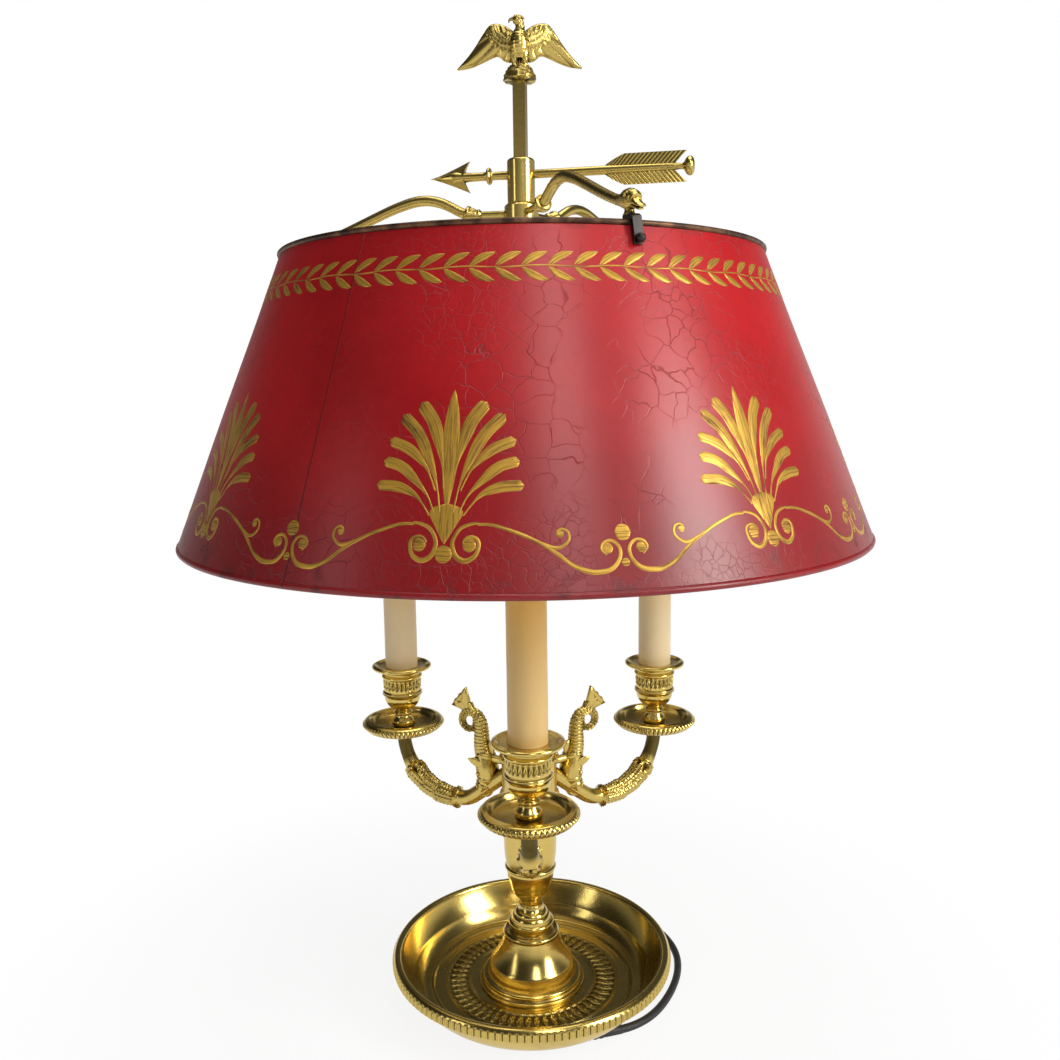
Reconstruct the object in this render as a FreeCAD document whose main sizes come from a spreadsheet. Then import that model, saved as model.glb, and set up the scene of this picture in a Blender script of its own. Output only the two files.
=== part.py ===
"""A three-light bouillotte table lamp in brass, with a painted tin shade that slides on a square mast.

Frame: millimetres, +Z up, origin on the table under the mast. The side towards -Y is the front.
Every driving size is a cell of the sheet "dims". A Size carries a number and the same number as a
formula on those cells, so that a sketch starts in the right place and stays bound to the sheet.
"""

import math
import os

import FreeCAD, Part
import Sketcher
from FreeCAD import Placement, Rotation, Vector

doc = FreeCAD.newDocument("bouillotte_lamp")
sheet = doc.addObject("Spreadsheet::Sheet", "dims")


class Size:
    """A number together with the formula that gives it from the sheet."""

    def __init__(self, value, text):
        self.value = value
        self.text = text

    @staticmethod
    def of(other):
        if isinstance(other, Size):
            return other
        return Size(float(other), f"{float(other):.6f}")

    def _join(self, other, sign, value):
        return Size(value, f"({self.text} {sign} {Size.of(other).text})")

    def __add__(self, other):
        return self._join(other, "+", self.value + Size.of(other).value)

    def __sub__(self, other):
        return self._join(other, "-", self.value - Size.of(other).value)

    def __mul__(self, other):
        return self._join(other, "*", self.value * Size.of(other).value)

    def __truediv__(self, other):
        return self._join(other, "/", self.value / Size.of(other).value)

    def __radd__(self, other):
        return Size.of(other) + self

    def __rsub__(self, other):
        return Size.of(other) - self

    def __rmul__(self, other):
        return Size.of(other) * self

    def __neg__(self):
        return Size(-self.value, f"(0 - {self.text})")


rows_used = []


def dim(alias, value):
    """Writes one driving size on the sheet and returns it."""
    rows_used.append(alias)
    row = len(rows_used)
    sheet.set(f"A{row}", alias)
    sheet.set(f"B{row}", str(value))
    sheet.setAlias(f"B{row}", alias)
    return Size(float(value), f"dims.{alias}")


def hypot(a, b):
    """The length of the slanted line with sides a and b."""
    return Size(math.hypot(a.value, b.value), f"sqrt({a.text}^2 + {b.text}^2)")


# Base: dish, foot drum, felt, weight
drum_r = dim("drum_radius", 61)
drum_wall = dim("drum_wall", 2)
dish_r = dim("dish_rim_radius", 92.6)
dish_h = dim("dish_rim_height", 35)
floor_r = dim("dish_floor_radius", 73)
floor_z = dim("dish_floor_height", 11)
floor_wall = dim("dish_floor_wall", 2)
felt_h = dim("felt_thickness", 1.6)
fit_gap = dim("seat_clearance", 0.05)

# Stem
foot_r = dim("foot_radius", 35)
foot_top = dim("foot_top_height", 37)
knop_r = dim("knop_radius", 17.5)
knop_top = dim("knop_top_height", 65)
vase_r = dim("vase_radius", 18)
hub_z = dim("hub_bottom_height", 139)
hub_r = dim("hub_radius", 19)
hub_top = dim("hub_top_height", 170)
pipe_r = dim("tie_pipe_radius", 5)
nut_r = dim("tie_nut_radius", 9)

# Square rod that carries the shade and the eagle
rod_side = dim("rod_side", 7.4)
rod_top = dim("rod_top_height", 590)
rod_turn = dim("rod_turn_deg", -11)
rod_gap = dim("rod_running_gap", 0.08)

# Candle arms
arm_reach = dim("arm_reach", 101.9)
arm_r = dim("arm_radius", 5.2)
arm_bore = dim("arm_bore_radius", 3)
arm_low = dim("arm_low_height", 126.8)
arm_bend = dim("arm_bend_radius", 33)
arm_root_r = dim("arm_root_reach", 14)
arm_root_z = dim("arm_root_height", 153.9)
arm_knee = dim("arm_knee_reach", 49.2)
pan_z = dim("pan_bottom_height", 167.5)
pan_r = dim("pan_radius", 28.2)
cup_r = dim("cup_radius", 13.4)
cup_lip = dim("cup_lip_radius", 20)
cup_top = dim("cup_top_height", 216)
sleeve_r = dim("sleeve_radius", 11.1)
sleeve_wall = dim("sleeve_wall", 1.2)
sleeve_len = dim("sleeve_length", 108)
holder_r = dim("lampholder_radius", 8.4)
bulb_r = dim("bulb_radius", 14)
bulb_len = dim("bulb_length", 62)

# Shade and its carriage
shade_low_r = dim("shade_bottom_radius", 207.7)
shade_low_z = dim("shade_bottom_height", 319.4)
shade_top_r = dim("shade_top_radius", 143.6)
shade_top_z = dim("shade_top_height", 481)
shade_wall = dim("shade_wall", 0.8)
top_wire_r = dim("top_wire_radius", 1.5)
low_wire_r = dim("bottom_wire_radius", 1.8)
collar_r = dim("collar_radius", 8.3)
collar_low = dim("collar_bottom_height", 503)
collar_seat = dim("collar_seat_height", 514.5)
collar_top = dim("collar_top_height", 541)
ring_r = dim("spider_ring_radius", 10.3)
ring_low = dim("spider_ring_bottom_height", 505)
spider_z = dim("spider_root_height", 509.5)
spider_peak = dim("spider_peak_height", 519)
spider_rod_r = dim("spider_rod_radius", 2)
spider_neck_r = dim("spider_neck_radius", 3)
spider_turn = dim("spider_turn_deg", -68)

# Arrow
arrow_z = dim("arrow_height", 532)
arrow_r = dim("arrow_shaft_radius", 2.5)
arrow_tip = dim("arrow_head_length", 56)
barb_h = dim("arrow_barb_height", 9.2)
arrow_tail = dim("arrow_tail_length", 103)
vane_h = dim("arrow_vane_height", 8.8)
vane_wall = dim("arrow_vane_thickness", 1.8)

# Eagle
wing_span = dim("wing_span", 75)
eagle_z = dim("eagle_bottom_height", 585)

# Cord
cord_r = dim("cord_radius", 2.5)
bush_r = dim("bush_radius", 3.1)
bush_len = dim("bush_length", 10)
exit_z = dim("cord_exit_height", 4.85)
exit_heading = dim("cord_exit_heading_deg", 8)
coil_r = dim("coil_outer_radius", 37.5)
coil_hole = dim("coil_inner_radius", 17.5)
coil_h = dim("coil_height", 13.7)
coil_y = dim("coil_distance", 107.5)

ARMS = (("front", -90), ("right", 30), ("left", 150))
doc.recompute()


def body_named(name):
    """A PartDesign body whose Label names its file."""
    body = doc.addObject("PartDesign::Body", name)
    body.Label = name
    return body


def plane(body, role):
    for feature in body.Origin.OriginFeatures:
        if feature.Role == role:
            return feature
    raise ValueError(role)


def new_sketch(body, name, role="XZ_Plane", offset=None):
    """A sketch on one of the body's own planes, moved along its normal by offset."""
    sketch = body.newObject("Sketcher::SketchObject", name)
    sketch.AttachmentSupport = [(plane(body, role), "")]
    sketch.MapMode = "FlatFace"
    if offset is not None:
        sketch.AttachmentOffset = Placement(Vector(0, 0, offset.value), Rotation())
        sketch.setExpression("AttachmentOffset.Base.z", offset.text)
    return sketch


def pin_point(sketch, geometry, place, x, y):
    """Holds one point of a sketch at x, y from the sketch's origin."""
    for kind, size, axis in (("DistanceX", x, -2), ("DistanceY", y, -1)):
        if abs(size.value) < 1e-9:
            sketch.addConstraint(Sketcher.Constraint("PointOnObject", geometry, place, axis))
        elif size.value > 0:
            at = sketch.addConstraint(Sketcher.Constraint(kind, -1, 1, geometry, place, size.value))
            sketch.setExpression(f"Constraints[{at}]", size.text)
        else:
            at = sketch.addConstraint(Sketcher.Constraint(kind, geometry, place, -1, 1, -size.value))
            sketch.setExpression(f"Constraints[{at}]", (-size).text)


def arc_between(start, end, bulge):
    """The arc from start to end that turns by four times the angle whose tangent is bulge."""
    chord = end - start
    middle = (start + end) * 0.5
    normal = Vector(-chord.y, chord.x, 0)
    through = middle - normal * (bulge / 2)
    return Part.Arc(start, through, end)


def outline(sketch, points):
    """Closes a loop through (x, y) or (x, y, bulge); the bulge rounds the side that starts there."""
    sizes = [(Size.of(p[0]), Size.of(p[1]), p[2] if len(p) > 2 else 0.0) for p in points]
    spots = [Vector(x.value, y.value, 0) for x, y, _ in sizes]
    count = len(sizes)
    ids = []
    ends = []
    for i, (_, _, bulge) in enumerate(sizes):
        start = spots[i]
        end = spots[(i + 1) % count]
        if not bulge:
            ids.append(sketch.addGeometry(Part.LineSegment(start, end), False))
            ends.append((1, 2))
            continue
        ids.append(sketch.addGeometry(arc_between(start, end, bulge), False))
        ends.append((1, 2) if bulge > 0 else (2, 1))
    for i in range(count):
        after = (i + 1) % count
        sketch.addConstraint(
            Sketcher.Constraint("Coincident", ids[i], ends[i][1], ids[after], ends[after][0])
        )
    for i, (x, y, bulge) in enumerate(sizes):
        pin_point(sketch, ids[i], ends[i][0], x, y)
        if bulge:
            next_x, next_y, _ = sizes[(i + 1) % count]
            radius = hypot(next_x - x, next_y - y) * ((1 + bulge * bulge) / (4 * abs(bulge)))
            at = sketch.addConstraint(Sketcher.Constraint("Radius", ids[i], radius.value))
            sketch.setExpression(f"Constraints[{at}]", radius.text)


def circle(sketch, x, y, radius):
    x, y, radius = Size.of(x), Size.of(y), Size.of(radius)
    geometry = sketch.addGeometry(Part.Circle(Vector(x.value, y.value, 0), Vector(0, 0, 1), radius.value), False)
    pin_point(sketch, geometry, 3, x, y)
    at = sketch.addConstraint(Sketcher.Constraint("Radius", geometry, radius.value))
    sketch.setExpression(f"Constraints[{at}]", radius.text)


def square(sketch, side):
    """A square of that side, centred on the sketch's origin."""
    half = side / 2
    outline(sketch, [(-half, -half), (half, -half), (half, half), (-half, half)])


def route(sketch, corners, radii):
    """An open line through the corners, with each inner corner rounded to its radius."""
    corners = [(Size.of(x), Size.of(y)) for x, y in corners]
    radii = [Size.of(r) for r in radii]
    spots = [Vector(x.value, y.value, 0) for x, y in corners]
    cuts = []
    for i, radius in enumerate(radii, start=1):
        back = (spots[i - 1] - spots[i]).normalize()
        ahead = (spots[i + 1] - spots[i]).normalize()
        half_angle = back.getAngle(ahead) / 2
        reach = radius.value / math.tan(half_angle)
        bisector = (back + ahead).normalize()
        centre = spots[i] + bisector * (radius.value / math.sin(half_angle))
        middle = centre - bisector * radius.value
        cuts.append((spots[i] + back * reach, middle, spots[i] + ahead * reach, back.cross(ahead).z))
    lines = []
    for i in range(len(spots) - 1):
        start = spots[0] if i == 0 else cuts[i - 1][2]
        end = spots[-1] if i == len(spots) - 2 else cuts[i][0]
        lines.append(sketch.addGeometry(Part.LineSegment(start, end), False))
    for i, (start, middle, end, side) in enumerate(cuts):
        arc = sketch.addGeometry(Part.Arc(start, middle, end), False)
        first, last = (1, 2) if side < 0 else (2, 1)
        sketch.addConstraint(Sketcher.Constraint("Tangent", lines[i], 2, arc, first))
        sketch.addConstraint(Sketcher.Constraint("Tangent", arc, last, lines[i + 1], 1))
        at = sketch.addConstraint(Sketcher.Constraint("Radius", arc, radii[i].value))
        sketch.setExpression(f"Constraints[{at}]", radii[i].text)
        corner = sketch.addGeometry(Part.Point(spots[i + 1]), True)
        pin_point(sketch, corner, 1, *corners[i + 1])
        sketch.addConstraint(Sketcher.Constraint("PointOnObject", corner, 1, lines[i]))
        sketch.addConstraint(Sketcher.Constraint("PointOnObject", corner, 1, lines[i + 1]))
    pin_point(sketch, lines[0], 1, *corners[0])
    pin_point(sketch, lines[-1], 2, *corners[-1])


def feature(body, kind, name, sketch=None, **settings):
    """A PartDesign feature of the body, with sizes bound to the sheet."""
    made = body.newObject(f"PartDesign::{kind}", name)
    if sketch is not None:
        made.Profile = (sketch, [""])
        sketch.Visibility = False
    for key, value in settings.items():
        if isinstance(value, Size):
            setattr(made, key, value.value)
            made.setExpression(key, value.text)
        else:
            setattr(made, key, value)
    return made


def turned(name, points):
    """A body turned on the lathe: the closed (radius, height) outline, spun about Z."""
    body = body_named(name)
    sketch = new_sketch(body, f"{name}_outline")
    outline(sketch, points)
    feature(body, "Revolution", f"{name}_turning", sketch, ReferenceAxis=(sketch, ["V_Axis"]), Angle=360.0)
    return body


def turn_about_z(body, degrees):
    """Turns a finished sub-part about the lamp's axis."""
    body.Placement = Placement(Vector(0, 0, 0), Rotation(Vector(0, 0, 1), degrees))


def set_on_arm(body, degrees):
    """Moves a piece that was turned about Z out to the end of its candle arm."""
    across = arm_reach * math.cos(math.radians(degrees))
    along = arm_reach * math.sin(math.radians(degrees))
    body.Placement = Placement(Vector(across.value, along.value, 0), Rotation(Vector(0, 0, 1), degrees))
    body.setExpression("Placement.Base.x", across.text)
    body.setExpression("Placement.Base.y", along.text)


def solid_feature(name, shape, placement=None):
    """A sub-part whose free form is made with Part's own functions."""
    made = doc.addObject("Part::Feature", name)
    made.Label = name
    made.Shape = shape
    if placement is not None:
        made.Placement = placement
    return made


# Cord exit: a slanted hole low in the foot drum, at the front right
HEADING = math.radians(exit_heading.value)
EXIT_OUT = Vector(math.cos(HEADING), math.sin(HEADING), 0)
EXIT_WALL = Vector(drum_r.value * math.cos(math.radians(-58)), drum_r.value * math.sin(math.radians(-58)), exit_z.value)
BUSH_START = EXIT_WALL - EXIT_OUT * (bush_len.value * 0.6)


def drill(body, name, radius, start, direction, length):
    """Takes a round hole out of a body, from start along direction."""
    made = body.newObject("PartDesign::SubtractiveCylinder", name)
    made.Radius = radius.value
    made.setExpression("Radius", radius.text)
    made.Height = length
    made.Placement = Placement(start, Rotation(Vector(0, 0, 1), direction))
    body.Tip = made
    return made


# Dish: foot drum, flared bowl, rolled rim, and a floor that steps in rings to the stem
drum_in = drum_r - drum_wall
under = floor_z - floor_wall
bore = pipe_r + fit_gap
dish = turned(
    "base_dish",
    [
        (drum_in, 0.4),
        (drum_r, 0.4),
        (drum_r, under - 0.6),
        (drum_r + 1, under),
        (floor_r, under, 0.1),
        (floor_r + (dish_r - floor_r) * 0.286, under + 5, 0.08),
        (dish_r - 8.4, dish_h - 9.6, -0.1),
        (dish_r - 2.6, dish_h - 8.4),
        (dish_r - 0.2, dish_h - 6.8, 0.1),
        (dish_r, dish_h - 3, 0.2),
        (dish_r - 2, dish_h),
        (dish_r - 4.6, dish_h),
        (dish_r - 6, dish_h - 1.6),
        (dish_r - 6.6, dish_h - 1.6, -0.08),
        (floor_r + (dish_r - floor_r) * 0.276, floor_z + 9, -0.12),
        (floor_r, floor_z + 1),
        (floor_r - 7, floor_z + 1),
        (floor_r - 8, floor_z),
        (floor_r - 15, floor_z),
        (floor_r - 16, floor_z + 0.8),
        (foot_r + 6, floor_z + 0.8),
        (foot_r + 5, floor_z),
        (bore, floor_z),
        (bore, under),
        (drum_in, under),
    ],
)
drill(dish, "dish_cord_hole", bush_r + fit_gap, EXIT_WALL - EXIT_OUT * 12, EXIT_OUT, 24)

turned("base_felt", [(0, 0), (drum_in - 0.2, 0), (drum_in - 0.2, felt_h), (0, felt_h)])

# Iron weight: fills the foot drum, with a slot where the cord comes in
weight = turned(
    "base_weight",
    [
        (nut_r + 2, felt_h),
        (drum_in - 0.5, felt_h),
        (drum_in - 0.5, under),
        (nut_r + 2, under),
    ],
)
slot = new_sketch(weight, "weight_slot_outline", "XY_Plane")
outline(slot, [(-10, -drum_r), (drum_r, -drum_r), (drum_r, -drum_r + 13), (-10, -drum_r + 13)])
feature(weight, "Pocket", "weight_slot", slot, Type="ThroughAll", Midplane=True)

bush = turned(
    "cord_bush",
    [
        (cord_r + fit_gap, 0),
        (bush_r, 0),
        (bush_r, bush_len - 3),
        (cord_r + 0.25, bush_len),
        (cord_r + fit_gap, bush_len),
    ],
)
bush.Placement = Placement(BUSH_START, Rotation(Vector(0, 0, 1), EXIT_OUT))

# Stem: foot, knop and vase are turned pieces threaded on one pipe like beads
turned(
    "stem_foot",
    [
        (bore, floor_z),
        (foot_r, floor_z),
        (foot_r, floor_z + 1.6),
        (foot_r - 2, floor_z + 1.6),
        (foot_r - 4, floor_z + 2.4, 0.6),
        (foot_r - 4.4, floor_z + 5),
        (foot_r - 6.8, floor_z + 5.6),
        (foot_r - 8, floor_z + 7, -0.16),
        (foot_r - 17.4, floor_z + 15, -0.14),
        (foot_r - 21.4, foot_top),
        (bore, foot_top),
    ],
)
turned(
    "stem_knop",
    [
        (bore, foot_top),
        (knop_r - 1.4, foot_top),
        (knop_r - 1.4, foot_top + 3, 0),
        (knop_r - 2.8, foot_top + 3.6),
        (knop_r - 3, foot_top + 5),
        (knop_r - 2.2, foot_top + 6, 0.14),
        (knop_r - 3, foot_top + 11, 0.14),
        (knop_r - 7.6, foot_top + 18, -0.1),
        (knop_r - 9.8, foot_top + 23),
        (knop_r - 9.2, foot_top + 24, 0.5),
        (knop_r - 9.2, foot_top + 26.4),
        (knop_r - 10, knop_top),
        (bore, knop_top),
    ],
)
turned(
    "stem_vase",
    [
        (bore, knop_top),
        (vase_r - 10.4, knop_top),
        (vase_r - 10.2, knop_top + 3),
        (vase_r - 9.4, knop_top + 5, 0.25),
        (vase_r - 4, knop_top + 14, 0.03),
        (vase_r - 1.2, knop_top + 29),
        (vase_r - 1.2, knop_top + 33),
        (vase_r, knop_top + 34),
        (vase_r, hub_z - 3),
        (vase_r - 1, hub_z),
        (bore, hub_z),
    ],
)

hub = turned(
    "arm_hub",
    [
        (bore, hub_z),
        (hub_r - 1, hub_z),
        (hub_r, hub_z + 1),
        (hub_r, hub_z + 4),
        (hub_r - 1, hub_z + 5),
        (hub_r - 1, hub_top - 6),
        (hub_r, hub_top - 5),
        (hub_r, hub_top - 2),
        (hub_r - 2, hub_top),
        (0, hub_top),
        (0, hub_top - 16),
        (bore, hub_top - 16),
    ],
)
ARM_FALL = math.atan2(arm_root_z.value - arm_low.value, arm_knee.value - arm_root_r.value)
ARM_SLANT = math.degrees(ARM_FALL)
for side, degrees in ARMS:
    turn = Rotation(Vector(0, 0, 1), degrees)
    inward = Vector(-math.cos(ARM_FALL), 0, math.sin(ARM_FALL))
    mouth = Vector(arm_root_r.value, 0, arm_root_z.value) - inward * 20
    drill(hub, f"hub_socket_{side}", arm_r + fit_gap, turn.multVec(mouth), turn.multVec(inward), 20)
socket = new_sketch(hub, "rod_socket_outline", "XY_Plane", hub_top)
socket.AttachmentOffset = Placement(Vector(0, 0, hub_top.value), Rotation(Vector(0, 0, 1), rod_turn.value))
square(socket, rod_side + fit_gap * 2)
feature(hub, "Pocket", "rod_socket", socket, Type="Length", Length=Size.of(14.0))

turned(
    "hub_cap",
    [
        (rod_side * 0.72, hub_top),
        (hub_r - 4, hub_top),
        (hub_r - 4, hub_top + 2),
        (hub_r - 8, hub_top + 3.4, -0.3),
        (rod_side * 0.72 + 1.4, hub_top + 10),
        (rod_side * 0.72, hub_top + 10),
    ],
)
turned(
    "tie_pipe",
    [
        (pipe_r - 1.2, felt_h + 0.4),
        (pipe_r, felt_h + 0.4),
        (pipe_r, hub_top - 16.2),
        (pipe_r - 1.2, hub_top - 16.2),
    ],
)
nut = body_named("tie_nut")
nut_sketch = new_sketch(nut, "nut_outline", "XY_Plane", under - 4)
corners = [math.radians(60 * step) for step in range(6)]
outline(nut_sketch, [(nut_r * math.cos(angle), nut_r * math.sin(angle)) for angle in corners])
circle(nut_sketch, 0, 0, bore)
feature(nut, "Pad", "nut_height", nut_sketch, Length=Size.of(4.0))

# Square rod, seated in the hub and carrying the eagle
rod = body_named("shade_rod")
rod_sketch = new_sketch(rod, "rod_outline", "XY_Plane", hub_top - 14)
square(rod_sketch, rod_side)
feature(rod, "Pad", "rod_height", rod_sketch, Length=rod_top - hub_top + 14)
turn_about_z(rod, rod_turn.value)


def candle_arm(side, degrees):
    """One hollow cast arm: out of the hub, down through the dolphin's mouth, and up to its pan."""
    arm = body_named(f"candle_arm_{side}")
    path = new_sketch(arm, f"arm_{side}_path")
    route(
        path,
        [(arm_root_r, arm_root_z), (arm_knee, arm_low), (arm_reach, arm_low), (arm_reach, pan_z)],
        [20, arm_bend],
    )
    section = new_sketch(arm, f"arm_{side}_section", "YZ_Plane")
    section.AttachmentOffset = Placement(
        Vector(0, arm_root_z.value, arm_root_r.value), Rotation(Vector(1, 0, 0), ARM_SLANT)
    )
    section.setExpression("AttachmentOffset.Base.y", arm_root_z.text)
    section.setExpression("AttachmentOffset.Base.z", arm_root_r.text)
    circle(section, 0, 0, arm_r)
    circle(section, 0, 0, arm_bore + fit_gap)
    pipe = feature(arm, "AdditivePipe", f"arm_{side}_pipe", section)
    pipe.Spine = (path, [""])
    pipe.Mode = "Standard"
    path.Visibility = False
    turn_about_z(arm, degrees)


def on_arm(name, degrees, points):
    """A turned piece that stands at the end of a candle arm."""
    set_on_arm(turned(name, points), degrees)


seat = pan_z + 3.5
sleeve_z = cup_top - 4
sleeve_top = sleeve_z + sleeve_len
nipple_hole = arm_bore + fit_gap
holder_z = sleeve_top - 36
holder_top = sleeve_top - 2
bulb_z = holder_z + 5


def candle_light(side, degrees):
    """Pan, cup, sleeve, lampholder and bulb, stacked on the end of one arm."""
    on_arm(
        f"drip_pan_{side}",
        degrees,
        [
            (nipple_hole, pan_z),
            (arm_r + 2, pan_z),
            (pan_r - 8, pan_z + 1.6),
            (pan_r - 3.4, pan_z + 2.4),
            (pan_r, pan_z + 6, 0.3),
            (pan_r - 2.6, pan_z + 9),
            (pan_r - 4.6, pan_z + 9.6),
            (pan_r - 5.6, pan_z + 8.4),
            (pan_r - 8, pan_z + 5),
            (arm_r + 3, seat),
            (nipple_hole, seat),
        ],
    )
    on_arm(
        f"candle_cup_{side}",
        degrees,
        [
            (nipple_hole, seat),
            (cup_r - 8, seat),
            (cup_r - 6.2, seat + 1.6, 0.3),
            (cup_r - 6.4, seat + 5.4),
            (cup_r - 8, seat + 8.4),
            (cup_r - 8, seat + 12),
            (cup_r - 4, seat + 15, 0.15),
            (cup_r - 0.8, seat + 22.4),
            (cup_r, seat + 23.4),
            (cup_r, seat + 25.4),
            (cup_r - 0.8, seat + 26.4),
            (cup_r - 0.6, seat + 35),
            (cup_r, seat + 37.4),
            (cup_r - 0.8, cup_top - 5.4),
            (cup_lip - 4, cup_top - 3),
            (cup_lip, cup_top - 2.4),
            (cup_lip, cup_top),
            (cup_lip - 2, cup_top),
            (cup_lip - 4, cup_top - 1.4),
            (sleeve_r + fit_gap, cup_top - 1.4),
            (sleeve_r + fit_gap, sleeve_z),
            (nipple_hole, sleeve_z),
        ],
    )
    on_arm(
        f"candle_sleeve_{side}",
        degrees,
        [
            (sleeve_r - sleeve_wall, sleeve_z),
            (sleeve_r, sleeve_z),
            (sleeve_r, sleeve_top),
            (sleeve_r - sleeve_wall, sleeve_top),
        ],
    )
    on_arm(
        f"lampholder_{side}",
        degrees,
        [
            (nipple_hole, sleeve_z),
            (arm_bore + 2.4, sleeve_z),
            (arm_bore + 2.4, holder_z - 4),
            (holder_r, holder_z),
            (holder_r, holder_top - 3),
            (sleeve_r - sleeve_wall - fit_gap, holder_top - 3),
            (sleeve_r - sleeve_wall - fit_gap, holder_top),
            (holder_r - 1, holder_top),
            (holder_r - 1, bulb_z),
            (nipple_hole, bulb_z),
        ],
    )
    cap_top = holder_top - 6
    on_arm(
        f"bulb_cap_{side}",
        degrees,
        [
            (0, bulb_z),
            (holder_r - 3.4, bulb_z),
            (holder_r - 1.1, bulb_z + 3),
            (holder_r - 1.1, cap_top),
            (0, cap_top),
        ],
    )
    on_arm(
        f"bulb_glass_{side}",
        degrees,
        [
            (0, cap_top),
            (holder_r - 1.6, cap_top),
            (holder_r - 1.6, holder_top + 3, 0.05),
            (bulb_r, cap_top + bulb_len * 0.42, 0.2),
            (bulb_r * 0.42, cap_top + bulb_len * 0.84, -0.1),
            (0.8, cap_top + bulb_len),
            (0, cap_top + bulb_len),
        ],
    )


for side, degrees in ARMS:
    candle_arm(side, degrees)
    candle_light(side, degrees)


def grouped(name, members):
    """Identical small pieces that share one name and one file."""
    group = doc.addObject("Part::Compound", name)
    group.Label = name
    group.Links = members
    inner.extend(member.Name for member in members)


inner = []
nipple_low = pan_z - 7
nipples = []
for side, degrees in ARMS:
    made = turned(
        f"nipple_{side}",
        [
            (arm_bore - 1, nipple_low),
            (arm_bore, nipple_low),
            (arm_bore, sleeve_z + 6),
            (arm_bore - 1, sleeve_z + 6),
        ],
    )
    set_on_arm(made, degrees)
    nipples.append(made)
grouped("arm_nipples", nipples)


def planar_wire(points):
    """A closed polygon through (reach, height) points in the plane y = 0."""
    return Part.makePolygon([Vector(x, 0, z) for x, z in points + points[:1]])


def plate(points, thickness):
    """A flat cut-out plate of that thickness, centred on the plane y = 0."""
    face = Part.Face(planar_wire(points))
    face.translate(Vector(0, -thickness / 2, 0))
    return face.extrude(Vector(0, thickness, 0))


def rod_between(start, end, radius):
    """A round bar between two (reach, height) points."""
    a = Vector(start[0], 0, start[1])
    b = Vector(end[0], 0, end[1])
    return Part.makeCylinder(radius, (b - a).Length, a, b - a)


def dolphin_shape():
    """Head biting the arm, body rising beside the hub, tail curled in a loop under a forked fin."""
    base = hub_z.value
    spine = (
        (29.5, base + 7.5, 6.4, 60),
        (32.0, base + 13, 8.0, 68),
        (34.5, base + 20.5, 6.9, 76),
        (36.3, base + 28, 5.5, 84),
        (36.3, base + 37, 4.9, 90),
        (37.2, base + 45, 4.1, 74),
        (40.4, base + 50, 3.0, 38),
    )
    rings = []
    for reach, height, radius, heading in spine:
        angle = math.radians(heading)
        normal = Vector(math.cos(angle), 0, math.sin(angle))
        rings.append(Part.Wire(Part.makeCircle(radius, Vector(reach, 0, height), normal)))
    body = Part.makeLoft(rings, True, False)
    jaw = rod_between((24, base + 7.2), (36.5, base - 2.6), arm_r.value + 2)
    loop = Part.makeTorus(5.3, 2.2, Vector(46, 0, base + 44), Vector(0, 1, 0))
    fin = plate(
        [
            (41, base + 49),
            (44, base + 50),
            (50.5, base + 47),
            (55.5, base + 52),
            (60, base + 54),
            (54.5, base + 57),
            (52, base + 60),
            (50, base + 64),
            (48, base + 67),
            (44.5, base + 61),
            (43.5, base + 55),
        ],
        3.2,
    )
    strut = rod_between((15, base + 21), (31, base + 21), 3)
    form = body.fuse([jaw, loop, fin, strut])
    arm = rod_between((5, arm_root_z.value + 9 * math.tan(ARM_FALL)), (70, arm_root_z.value - 56 * math.tan(ARM_FALL)),
                      arm_r.value + fit_gap.value)
    core = Part.makeCylinder(hub_r.value - 1 + fit_gap.value, 60, Vector(0, 0, base - 10))
    return form.cut(arm).cut(core)


DOLPHIN = dolphin_shape()
for side, degrees in ARMS:
    solid_feature(f"dolphin_{side}", DOLPHIN, Placement(Vector(0, 0, 0), Rotation(Vector(0, 0, 1), degrees)))


def eagle_shape():
    """Eagle with half-raised wings on a rock, its head turned to the left."""
    base = eagle_z.value
    half = wing_span.value / 2
    rock = Part.makeCone(10, 7, 12, Vector(0, 0, base))
    rings = []
    for height, radius in ((11, 4.2), (14, 5.4), (19, 5.9), (25, 5.2), (29, 3.0), (32, 2.6)):
        rings.append(Part.Wire(Part.makeCircle(radius, Vector(0, 0, base + height))))
    breast = Part.makeLoft(rings, True, False)
    skull = Part.makeSphere(3.1, Vector(-0.4, 0, base + 34.4))
    beak = Part.makeCone(2.0, 0.4, 5.4, Vector(-2, 0, base + 34.6), Vector(-1, 0, -0.25))
    wing = [
        (2, base + 15),
        (9, base + 14.4),
        (18, base + 15),
        (28, base + 12),
        (half, base + 10),
        (half - 1, base + 19),
        (half - 6, base + 28),
        (24, base + 33),
        (17, base + 31.4),
        (9, base + 26),
        (2, base + 26.6),
    ]
    right = plate(wing, 3)
    left = plate([(-x, z) for x, z in wing], 3)
    tail = Part.makeBox(9, 5, 14, Vector(-4.5, 2.5, base + 4))
    form = rock.fuse([breast, skull, beak, right, left, tail])
    seat_side = rod_side.value + 2 * fit_gap.value
    recess = Part.makeBox(seat_side, seat_side, 5, Vector(-seat_side / 2, -seat_side / 2, base))
    recess.rotate(Vector(0, 0, 0), Vector(0, 0, 1), rod_turn.value)
    return form.cut(recess)


solid_feature("finial_eagle", eagle_shape())

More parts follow.
